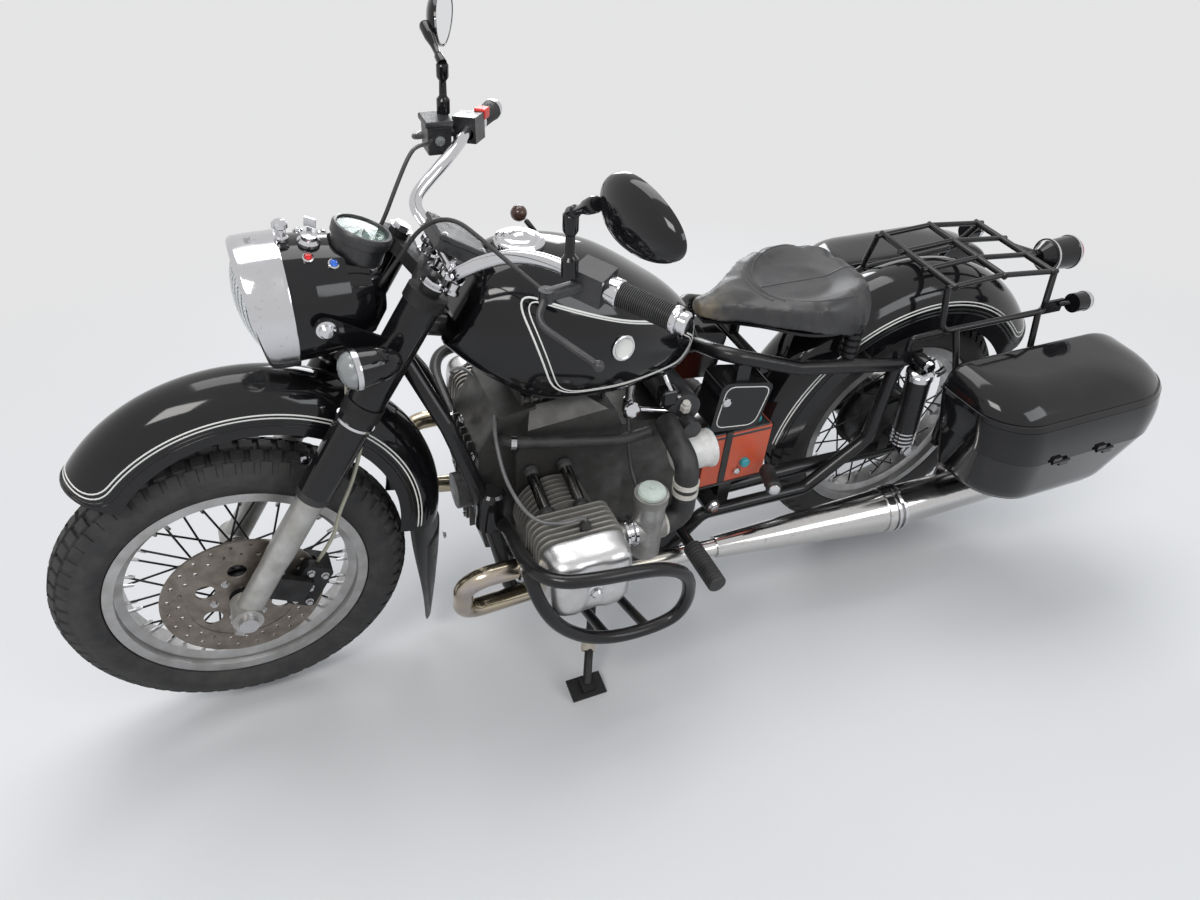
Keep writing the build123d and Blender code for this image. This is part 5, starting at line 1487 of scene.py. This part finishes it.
def rocker_cover(side):
    """A rocker cover of two lobes. The valley between them runs over its top and down its face."""
    rows = [
        # y, share of the outline, depth of the valley in mm
        (285, 0.94, 0), (285, 1.0, 1), (291, 1.0, 2), (296, 0.985, 3), (312, 0.975, 7), (326, 0.95, 10),
        (336, 0.90, 12), (343, 0.82, 11), (347, 0.70, 9), (349, 0.52, 8), (350, 0.30, 7), (350.5, 0.04, 7),
    ]
    steps, points = 96, []
    for y, share, valley in rows:
        for step in range(steps):
            x, z = squared(tau * (step + 0.5) / steps, 84, 75, 0.42)
            near = max(0, 1 - abs(x * share) / 30)
            drop = valley * (3 * near ** 2 - 2 * near ** 3)
            front = max(0, min(1, (y - 330) / 18))
            lowered = z * share * (1 - drop * (1 - front) / 75)
            points.append(at(CYL_X + x * share, side * (y - drop * front), CRANK_Z - 1 + lowered))
    faces = ring_faces(len(rows), steps)
    faces += [tuple(range(steps)), tuple(range((len(rows) - 1) * steps, len(rows) * steps))]
    return mesh_from("rocker_cover", points, faces)


covers = piece(
    "rocker_covers_two_lobed", joined("rocker_covers", [rocker_cover(1), rocker_cover(-1)]), cover_alloy,
    "chassis"
)
sharp_by_angle(covers.data, 40)
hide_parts("rocker_covers")
for side, word in SIDES:
    round_part(
        f"rocker_cover_nut_{word}", [(0, -8), (14, -8), (14, 4), (10, 6), (10, 14), (7, 18), (0, 19)],
        at(CYL_X, side * 345, CRANK_Z - 2), way(0, side, 0), chrome, "chassis", "chrome"
    )
    plug_seat = at(908, side * 262, 486)
    aim = way(0.15, side * 0.25, 1)
    round_part(
        f"spark_plug_cap_{word}",
        [(0, -30), (8, -30), (8, -12), (11, -10), (11, 16), (8, 20), (5, 34), (0, 34)], plug_seat, aim,
        black_rubber, "chassis", "rubber"
    )
    top = plug_seat + aim.normalized() * 0.030
    lead = [
        top, top + aim.normalized() * 0.018, at(950, side * 270, 520), at(1000, side * 236, 510),
        at(1030, side * 180, 560), at(1030, side * 120, 612), at(1020, side * 84, 628),
        at(1010, side * 60, 622)
    ]
    bars(f"plug_lead_{word}", [lead], 3.6, grey_lead, "chassis")

bars(
    "hand_lever_right",
    [[at(650, -92, 470), at(668, -150, 520), at(720, -176, 640), at(800, -182, 780), at(868, -182, 872)]],
    5, dark_metal, "chassis"
)
round_part(
    "hand_lever_knob", [(0, -14), (6, -14), (11, -11), (15, -5), (16, 1), (14, 8), (9, 13), (0, 16)],
    at(882, -184, 888), way(0.45, 0, 1), knob_brown, "chassis", "black_paint", 32
)

tube_ends = []
for side in (1, -1):
    for x in (CYL_X - 30, CYL_X + 38):
        start, end = at(x, side * 106, CRANK_Z + 92), at(x, side * 205, CRANK_Z + 62)
        tube_ends += [(start, end - start), (end, start - end)]
TUBE_RUN = ((107, 91.7), (160, 75.6), (206, 61.7))
tube_runs = [
    [at(x, side * y, CRANK_Z + rise) for y, rise in TUBE_RUN]
    for side in (1, -1) for x in (CYL_X - 30, CYL_X + 38)
]
bars("pushrod_tubes", tube_runs, 11.6, dark_chrome, "chassis", 20)
round_parts(
    "pushrod_tube_boots", [(11, 0), (15, 0), (15, 6), (13, 8), (15, 10), (13, 13), (11, 15), (11, 0)],
    tube_ends, black_rubber, "chassis"
)

boxes(
    "crankcase_top_cover", [((790, -66, 606), (966, 66, 652))], dark_casting, "chassis",
    BIKE, 10
)
top_fins = [((797 + 18 * i, -70, 612), (802 + 18 * i, 70, 662)) for i in range(10)]
boxes("crankcase_top_fins", top_fins, dark_casting, "chassis", BIKE, 1)
bars(
    "breather_hose_bar",
    [
        [
            at(1012, 84, 584), at(1006, 112, 598), at(960, 124, 594), at(890, 128, 582),
            at(820, 130, 566), at(770, 130, 556), at(716, 124, 560)
        ]
    ],
    11, black_rubber, "chassis", 20
)
round_part(
    "breather_hose_clamp", [(10.5, 0), (13, 0), (13, 10), (10.5, 10), (10.5, 0)], at(990, 118, 597),
    at(1006, 112, 598) - at(960, 124, 594), dull_chrome, "chassis", "chrome"
)

case_holes = ((66, 420), (-66, 420), (66, 540), (-66, 540), (0, 330), (0, 580))
case_bolts = [(at(1056, y, z), way(1, 0, 0)) for y, z in case_holes]
bolts("front_cover_bolts", case_bolts, 0.006, 0.005, "chassis", dull_chrome)
ribs = [((1047, y - 2, 340), (1061, y + 2, 560)) for y in (-45, -22, 0, 22, 45)]
boxes("front_cover_ribs", ribs, dark_casting, "chassis", BIKE, 1)
sump_fins = [((804 + i * 20, -90, 216), (809 + i * 20, 90, 268)) for i in range(9)]
boxes("sump_fins", sump_fins, dark_casting, "chassis", BIKE, 1)
flange_spots = both_sides((CYL_X + 85, 241, CRANK_Z - 20), (1, 0, 0))
flange_fins = [
    (19.5, 0), (34, 0), (34, 2.5), (26, 3), (26, 6), (34, 6.5), (34, 9), (26, 9.5), (26, 12.5), (34, 13),
    (34, 15.5), (24, 17), (24, 24), (19.5, 24), (19.5, 0)
]
round_parts("exhaust_flange_nuts", flange_fins, flange_spots, dull_chrome, "chassis", 40)
carb_x = CYL_X - 85
carb_bits = both_sides((carb_x - 66, 245, CRANK_Z + 98), (0, 0, 1))
round_parts(
    "carburettor_caps", [(0, 0), (27, 0), (27, 6), (24, 10), (20, 11), (4, 11), (3, 14), (0, 14)],
    carb_bits, grey_cap, "chassis", 40
)
round_parts(
    "carburettor_intakes",
    [(21.2, 0), (30, 0), (30, 5), (26, 8), (26, 14), (30, 17), (30, 22), (21.2, 22), (21.2, 0)],
    both_sides((carb_x - 36, 245, CRANK_Z + 10), (1, 0, 0)), chrome, "chassis", 40
)
hose_bands = []
for side in (1, -1):
    hose_bands += [
        (at(carb_x - 97, side * 245, CRANK_Z + 10), way(-1, 0, 0)),
        (at(carb_x - 141, side * 240, CRANK_Z + 78), way(0, 0, 1)),
        (at(carb_x - 141, side * 239, CRANK_Z + 98), way(0, 0, 1))
    ]
round_parts(
    "hose_bands", [(22.6, -5), (25.4, -5), (25.4, 5), (22.6, 5), (22.6, -5)], hose_bands, pale_band,
    "chassis", 40
)
round_part(
    "air_filter_drum",
    [
        (0, -3), (37, -3), (37.6, -1), (37.6, 4), (36.6, 6), (36.6, 62), (37.8, 64), (39.4, 67),
        (39.4, 73), (37.4, 75), (30, 76), (28, 73), (0, 73)
    ],
    at(666, 150, 505), way(-1, 0, 0), filter_drum, "chassis", "plastic", 56
)


# Fuel tap, its pipe and the fittings under the tank's rear end

round_part(
    "fuel_tap_cap", [(0, 0), (15, 0), (16, 3), (16, 9), (13, 12), (8, 13), (0, 14)], at(752, 100, 604),
    way(0.2, 1, 0.3), chrome, "chassis", "chrome", 32
)
round_part(
    "fuel_tap_body", [(0, -26), (9, -26), (9, -14), (13, -12), (13, 14), (9, 16), (9, 64), (0, 64)],
    at(752, 88, 604), way(0, 0, 1), dull_chrome, "chassis", "chrome"
)
bars(
    "breather_pipe",
    [
        [at(738, 100, 600), at(706, 108, 596), at(676, 112, 590), at(652, 116, 566), at(648, 130, 540)],
        [at(688, 96, 668), at(684, 112, 648), at(668, 116, 622), at(640, 110, 612)]
    ],
    5, chrome, "chassis"
)
boxes(
    "fuel_filter_block", [((664, 92, 606), (700, 122, 642))], black_lid, "chassis", BIKE, 6
)
round_part(
    "fuel_union", [(0, 0), (11, 0), (11, 14), (8, 16), (8, 22), (0, 22)], at(646, 122, 592),
    way(0.1, 0.2, 1), pale_band, "chassis", "plastic", 6
)
bars(
    "fuel_hose",
    [[at(752, 92, 580), at(758, 110, 560), at(775, 150, 545), at(786, 190, 528), at(782, 214, 505)]], 4.2,
    black_rubber, "chassis"
)


# Battery, tool box locks, pegs and pedals

round_parts(
    "battery_terminal_caps", [(0, 0), (9, 0), (9, 10), (7, 13), (0, 14)],
    [(at(x, y, 500), way(0, 0, 1)) for x, y in ((450, 100), (490, 100), (530, 100), (560, 100))],
    terminal_teal, "chassis"
)
round_part(
    "battery_side_terminal", [(0, 0), (11, 0), (11, 8), (8, 11), (0, 12)], at(478, 122, 412),
    way(0, 1, 0), terminal_teal, "chassis", "plastic"
)
round_part(
    "battery_side_nut", [(0, 0), (8, 0), (8, 7), (5, 9), (0, 9)], at(494, 122, 393), way(0, 1, 0), chrome,
    "chassis", "chrome"
)
boxes(
    "battery_top", [((428, 60, 494), (577, 121, 503)), ((426, 57, 488), (579, 123, 495))], black_plastic,
    "chassis", BIKE, 2
)
boxes("battery_strap", [((520, 56, 368), (536, 124.5, 505))], black_rubber, "chassis", BIKE, 1)
round_part(
    "down_tube_canister",
    [(0, -46), (20, -46), (25, -41), (26, -34), (26, 34), (25, 41), (20, 46), (0, 46)],
    at(1040, 116, 446), way(-0.10, 0.0, 1), black_lid, "chassis", "black_paint", 40
)
for side, word in SIDES:
    round_part(
        f"tool_box_lock_{word}", [(0, 0), (10, 0), (10, 3), (7, 5), (0, 5)], at(556, side * 128, 592),
        way(0, side, 0), chrome, "chassis", "chrome"
    )
peg_ribs = both_sides((640, 224, 305), (0, 1, 0))
peg_profile = [(12.5, 0), (19.5, 0)]
for i in range(12):
    peg_profile += [(17.5, 2 + i * 8.5), (20, 4 + i * 8.5), (20, 8 + i * 8.5), (17.5, 10 + i * 8.5)]
peg_profile += [(20, 106), (18, 109), (0, 110)]
round_parts("foot_peg_rubbers", [(0, -1)] + peg_profile, peg_ribs, black_rubber, "chassis", 24)
round_parts(
    "pedal_rubbers",
    [(0, -1), (12, -1), (12, 3), (10.5, 5), (12, 8), (12, 52), (10.5, 54), (12, 57), (12, 61), (0, 62)],
    both_sides((770, 164, 330), (0, 1, 0)), black_rubber, "chassis", 20
)
passenger = both_sides((430, 146, 392), (0.35, 1, 0.1))
round_parts(
    "passenger_pegs",
    [
        (0, -14), (8, -14), (8, 0), (17, 0), (17, 4), (15, 8), (17, 12), (15, 20), (17, 28), (15, 36),
        (17, 44), (15, 52), (17, 62), (14, 66), (0, 68)
    ],
    passenger, black_rubber, "chassis", 24
)
round_parts(
    "passenger_peg_caps", [(0, 66), (12, 66), (12, 70), (8, 73), (0, 74)], passenger, chrome, "chassis",
    24
)
frame_bolts = []
for spot in ((545, 140, 315), (99, 176, 612), (76, 176, 378)):
    frame_bolts += both_sides(spot, (0, 1, 0))
bolts("frame_bolts", frame_bolts, 0.011, 0.008, "chassis")
SHOCK_AIM = (23, 0, 234)
round_parts(
    "shock_caps",
    [(28.5, -22), (30, -20), (30, -8), (24, -2), (16, 0), (12.4, 0), (12.4, -22), (28.5, -22)],
    both_sides((97, 158, 594), SHOCK_AIM), chrome, "chassis", 40
)
shock_ribs = [(20.5, -2)]
for i in range(4):
    shock_ribs += [(20.5, 11 * i), (27, 11 * i + 2), (27, 11 * i + 6), (20.5, 11 * i + 8)]
shock_ribs += [(20.2, 46), (20.2, -2), (20.5, -2)]
round_parts(
    "shock_lower_ribs", shock_ribs, both_sides((78, 158, 392), SHOCK_AIM), chrome, "chassis", 40
)
round_part("stand_bumper", [(9.2, -16), (14, -16), (15, -12), (15, 12), (14, 16), (9.2, 16), (9.2, -16)],
           at(868, 242, 110), at(900, 312, 62) - at(828, 162, 158), pale_rubber, "stand", "rubber", 28)


# Crash bars: one smooth loop round each cylinder, with its struts

CRASH_LOOP = [
    (1022, 122, 412), (1024, 170, 440), (1030, 250, 460), (1030, 318, 478), (998, 366, 486),
    (930, 378, 484), (862, 379, 476), (795, 375, 457), (742, 367, 414), (722, 358, 344),
    (732, 353, 282), (776, 352, 262), (856, 352, 262), (920, 352, 286), (974, 351, 330),
    (1010, 346, 384), (1030, 322, 440), (1031, 304, 466),
]
CRASH_STRUT = ((118, 196), (170, 200), (232, 214), (352, 264))
crash_runs, strut_runs = [], []
for side in (1, -1):
    crash_runs.append([at(x, side * y, z) for x, y, z in CRASH_LOOP])
    for x in (800, 880):
        strut_runs.append([at(x, side * y, z) for y, z in CRASH_STRUT])
crash = [bar_along("crash_bar", run, 13 * MILLIMETRE, 24) for run in crash_runs]
crash += [bar_along("crash_strut", run, 10 * MILLIMETRE, 20) for run in strut_runs]
crash_bar = piece(
    "crash_bar_loops", joined("crash_bar_loops", crash), black_frame, "chassis"
)
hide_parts("crash_bars")


# Panniers, silencer bands, rear lamps and indicators

BAG_SEAM, BAG_LOW, BAG_WALL, HINGE_Y = 490, 345, 4, 414


def bag_ring(z, front, rear, inner, outer, radius, inset):
    """Points round a pannier at one height, its six corners rounded."""
    front, rear, inner, outer = front - inset, rear + inset, inner + inset, outer - inset
    corners = [Vector(p) for p in (
        (front, inner), (front - 10, outer - 54), (front - 74, outer),
        (rear + 84, outer), (rear, outer - 56), (rear, inner),
    )]
    points = []
    for k, here in enumerate(corners):
        before, after = corners[k - 1], corners[(k + 1) % 6]
        sharp = radius if 0 < k < 5 else radius * 0.5
        reach = min(sharp, (before - here).length * 0.48, (after - here).length * 0.48)
        start = here + (before - here).normalized() * reach
        end = here + (after - here).normalized() * reach
        for step in range(9):
            t = step / 8
            spot = start * (1 - t) ** 2 + here * 2 * t * (1 - t) + end * t ** 2
            points.append((spot.x, spot.y, z))
    return points


def bag_skin(outer_rings, inner_rings):
    """A hollow shell from the outer rings, and back along the inner rings, closed at both ends."""
    rings = outer_rings + inner_rings[::-1]
    size, points = len(rings[0]), []
    for ring in rings:
        points += ring
    faces = ring_faces(len(rings), size)
    faces += [tuple(range(size)), tuple(range((len(rings) - 1) * size, len(rings) * size))]
    return points, faces


def bag_body():
    """The pannier's body from its rounded foot up to its lip."""
    def ring(z, grow, inset):
        t = (z - BAG_LOW) / (BAG_SEAM - BAG_LOW)
        return bag_ring(z, 6 + 52 * t + grow, -404 - 36 * t - grow, 205, 378 + 32 * t + grow, 44, inset)

    outer = [ring(BAG_LOW + rise, grow, 0) for rise, grow in ((0, -18), (4, -8), (11, -2), (20, 0))]
    outer += [ring(z, 0, 0) for z in (385, 420, 455, 470, BAG_SEAM)]
    inner = [ring(z, 0, BAG_WALL) for z in (BAG_LOW + 5, 400, 455, BAG_SEAM)]
    return bag_skin(outer, inner)


def bag_lid():
    """The domed lid from its lip up to its crown."""
    def ring(turn, grow, inset):
        rise = sin(radians(turn)) ** 0.85
        draw = (1 - cos(radians(turn))) ** 1.25
        z = BAG_SEAM + 0.5 + (149.5 - inset) * rise
        swell = 24 * sin(radians(2 * turn))
        return bag_ring(
            z, 58 + 8 * rise + swell - 26 * draw + grow, -440 + 150 * draw - grow, 205 + 14 * draw ** 3,
            410 - 112 * draw + grow, 44, inset
        )

    # the moulded band stands a little proud between its two grooves
    outer = [ring(turn, 0, 0) for turn in (0, 8, 16, 24, 30)]
    outer += [ring(turn, grow, 0) for turn, grow in ((30.6, -2), (31.4, 2.5), (36.6, 2.5), (37.4, -2))]
    outer += [ring(turn, 0, 0) for turn in (38, *range(42, 91, 6))]
    inner = [ring(turn, 0, BAG_WALL) for turn in range(0, 91, 15)]
    return bag_skin(outer[::-1], inner[::-1])


def with_hinges(points, faces, start, end, low, high):
    """The shell's mesh with its knuckles and leaves on the two hinges."""
    meshes = [mesh_from("bag", points, faces)]
    for x in (-250, -124):
        knuckle = lathe("knuckle", [(0, start), (3.5, start), (3.5, end), (0, end)], 20)
        knuckle.transform(Matrix.Rotation(radians(90), 4, "Y"))
        knuckle.transform(Matrix.Translation((x, HINGE_Y, BAG_SEAM)))
        meshes.append(knuckle)
        depths = (HINGE_Y - 6, HINGE_Y + 1)
        leaf = [(x + dx, y, z) for dx in (start, end) for y in depths for z in (low, high)]
        meshes.append(mesh_from("leaf", leaf, BLOCK_FACES))
    return joined("bag", meshes)


def placed_bag(shape, side):
    """A pannier's shape set on its side of the motorcycle."""
    mesh = shape.copy()
    mesh.transform(BIKE @ Matrix.Scale(MILLIMETRE, 4) @ Matrix.Diagonal((1, side, 1, 1)))
    return mesh_cleaned(mesh)


body_shape = with_hinges(*bag_body(), 0, 24, BAG_SEAM - 12, BAG_SEAM)
lid_shape = with_hinges(*bag_lid(), 24.5, 48, BAG_SEAM + 0.5, BAG_SEAM + 12.5)
both_bodies = joined("pannier_bodies", [placed_bag(body_shape, side) for side in (1, -1)])
bag_bodies = piece("pannier_bodies", both_bodies, black_lid, "chassis")
sharp_by_angle(bag_bodies.data, 38)
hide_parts("pannier_boxes")
for side, word in SIDES:
    dome = placed_bag(lid_shape, side)
    lid = piece(f"pannier_dome_{word}", dome, black_lid, f"{word}_lid")
    sharp_by_angle(lid.data, 38)
    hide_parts(f"pannier_lid_{word}")

band_spots, tail_spots = [], []
for side in (1, -1):
    middle, end = Vector((143, side * 226, 254)), Vector((-200, side * 232, 262))
    run = way(*(end - middle))
    band_spots += [(at(*(middle + (end - middle).normalized() * d)), run) for d in (14, 30)]
    tail_spots.append((at(*end), run))
round_parts(
    "silencer_double_bands", [(48, 0), (54, 0), (54.5, 4), (54, 8), (48, 8), (48, 0)], band_spots, chrome,
    "chassis", 64
)
round_parts(
    "silencer_tails", [(44.2, -6), (44.2, 1), (40, 5), (26, 8), (24, 14), (20, 14), (20, -6), (44.2, -6)],
    tail_spots, silencer_chrome, "chassis", 48
)
bolts("silencer_hanger_bolts", both_sides((-45, 196, 370), (0, 1, 0)), 0.008, 0.007, "chassis")
round_parts(
    "tail_lamp_rings", [(38, 0), (39.6, 0), (39.6, 5), (38, 5), (36, 2), (38, 0)],
    [(at(-419, 0, 712), way(-1, 0, 0)), (at(-352, 0, 712), way(-1, 0, 0))], chrome, "chassis",
    48
)
round_part(
    "tail_lamp_lens", [(0, 12), (20, 10), (32, 4), (35, -2), (0, -2)], at(-432, 0, 712), way(-1, 0, 0),
    red_lens, "chassis", "glass", 48
)
rear_lens = both_sides((-299, 173, 701), (-1, 0, 0))
round_parts(
    "rear_indicator_lenses", [(20, -2), (20, 6), (14, 12), (0, 14), (0, -2)], rear_lens, clear_lens,
    "chassis"
)
round_parts(
    "rear_indicator_rings", [(20.2, -6), (22, -6), (22, 1), (20.2, 1), (20.2, -6)], rear_lens, chrome,
    "chassis"
)
indicator_spots = both_sides((1262, 160, 846), (1, 0.12, 0.02))
indicator = round_parts(
    "front_indicator_shells",
    [(0, -74), (9, -72), (17, -64), (24, -50), (29, -32), (31, -14), (32, 0), (30.5, 2), (0, 2)],
    indicator_spots, black_lid, "fork", 40
)
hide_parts("front_indicators")
round_parts(
    "front_indicator_rings", [(28, -4), (33.4, -4), (33.8, 0), (33, 4), (30, 5), (28, 3), (28, -4)],
    indicator_spots, chrome, "fork", 40
)
facets = [(30, 1), (29, 8), (25, 15), (18, 20.5), (9, 23.5), (0, 24.5)]
round_parts("front_indicator_lenses", [(0, 1)] + facets, indicator_spots, clear_lens, "fork", 12)
stalks = [
    [on_fork(26, side * 112, 588), on_fork(30, side * 132, 588), at(1222, side * 158, 846)]
    for side in (1, -1)
]
bars("front_indicator_stalks", stalks, 8, dark_metal, "fork")


# Floor, light and camera

PALE = (0.78, 0.78, 0.785)


def looked_at(nodes, links):
    """1 for what the camera sees, straight, mirrored or through glass, and 0 for what gives light."""
    ray = nodes.new("ShaderNodeLightPath")
    total = ray.outputs["Is Camera Ray"]
    for kind in ("Is Glossy Ray", "Is Transmission Ray"):
        total = combined(nodes, links, "MAXIMUM", total, ray.outputs[kind])
    return total


def studio_floor():
    """Pale floor that keeps its shadows near the object and fades into the backdrop further out."""
    material, nodes, links, bsdf, place = shader("studio_floor")
    cloud = stretch(nodes, links, noise(nodes, links, place, 1.2, 3), 0.3, 0.7, 0, 1)
    tone = blended(nodes, links, cloud, (0.60, 0.60, 0.605), (0.585, 0.585, 0.59))
    links.new(tone, bsdf.inputs["Base Color"])
    bsdf.inputs["Roughness"].default_value = 0.9
    bsdf.inputs["Specular IOR Level"].default_value = 0.1
    far = stretch(nodes, links, length_of(nodes, links, place), 1.1, 3.6, 0, 1)
    seen = combined(nodes, links, "MULTIPLY", far, looked_at(nodes, links))
    glow = nodes.new("ShaderNodeEmission")
    glow.inputs["Color"].default_value = (*PALE, 1)
    mix = nodes.new("ShaderNodeMixShader")
    links.new(seen, mix.inputs["Fac"])
    links.new(bsdf.outputs["BSDF"], mix.inputs[1])
    links.new(glow.outputs["Emission"], mix.inputs[2])
    links.new(mix.outputs["Shader"], nodes["Material Output"].inputs["Surface"])
    return material


floor_mesh = bpy.data.meshes.new("floor")
floor_mesh.from_pydata([(-40, -40, 0), (40, -40, 0), (40, 40, 0), (-40, 40, 0)], [], [(0, 1, 2, 3)])
floor_mesh.materials.append(studio_floor())
floor = bpy.data.objects.new("floor", floor_mesh)
bpy.context.scene.collection.objects.link(floor)

world = bpy.data.worlds.new("studio")
bpy.context.scene.world = world
world.use_nodes = True
sky = world.node_tree
background = sky.nodes["Background"]
background.inputs["Color"].default_value = (0.86, 0.90, 0.96, 1)
background.inputs["Strength"].default_value = 0.70
shown = sky.nodes.new("ShaderNodeBackground")
shown.inputs["Color"].default_value = (*PALE, 1)
chosen = sky.nodes.new("ShaderNodeMixShader")
sky.links.new(looked_at(sky.nodes, sky.links), chosen.inputs["Fac"])
sky.links.new(background.outputs["Background"], chosen.inputs[1])
sky.links.new(shown.outputs["Background"], chosen.inputs[2])
sky.links.new(chosen.outputs["Shader"], sky.nodes["World Output"].inputs["Surface"])

LIGHTS = (
    # name, place, aimed at, width, height, watts, colour
    ("key", (3.4, 3.6, 4.8), (0.2, 0, 0.5), 2.6, 2.0, 170, (1.0, 0.98, 0.95)),
    ("fill", (-2.8, 4.2, 2.8), (0, 0, 0.5), 3.0, 2.0, 70, (0.94, 0.97, 1.0)),
    ("over", (0.0, -1.0, 5.0), (0, 0, 0.5), 4.0, 2.4, 110, (1.0, 1.0, 1.0)),
    ("back", (-1.5, -4.4, 2.8), (0, 0, 0.6), 2.4, 1.6, 80, (0.96, 0.98, 1.0)),
)
for name, spot, target, wide, high, watts, colour in LIGHTS:
    lamp = bpy.data.lights.new(name, "AREA")
    lamp.shape = "RECTANGLE"
    lamp.size, lamp.size_y = wide, high
    lamp.energy = watts
    lamp.color = colour
    holder = bpy.data.objects.new(name, lamp)
    bpy.context.scene.collection.objects.link(holder)
    look = (Vector(target) - Vector(spot)).to_track_quat("-Z", "Y").to_matrix().to_4x4()
    holder.matrix_world = Matrix.Translation(spot) @ look

# The camera stands at the front left, above the headlamp, as the photograph was taken
YAW, PITCH, ROLL = radians(-113.27), radians(29.35), radians(-0.92)
ahead = Vector((cos(PITCH) * cos(YAW), cos(PITCH) * sin(YAW), -sin(PITCH)))
level_right = Vector((sin(YAW), -cos(YAW), 0))
level_up = level_right.cross(ahead)
right = level_right * cos(ROLL) + level_up * sin(ROLL)
up = -level_right * sin(ROLL) + level_up * cos(ROLL)
camera_data = bpy.data.cameras.new("camera")
camera_data.sensor_width, camera_data.lens = 36, 26.9
camera = bpy.data.objects.new("camera", camera_data)
bpy.context.scene.collection.objects.link(camera)
camera_turn = Matrix((right, up, -ahead)).transposed().to_4x4()
camera_at = BIKE.translation + Vector((1.412, 1.603, 1.340))
camera.matrix_world = Matrix.Translation(camera_at) @ camera_turn
bpy.context.scene.camera = camera
bpy.context.scene.view_settings.view_transform = "Standard"
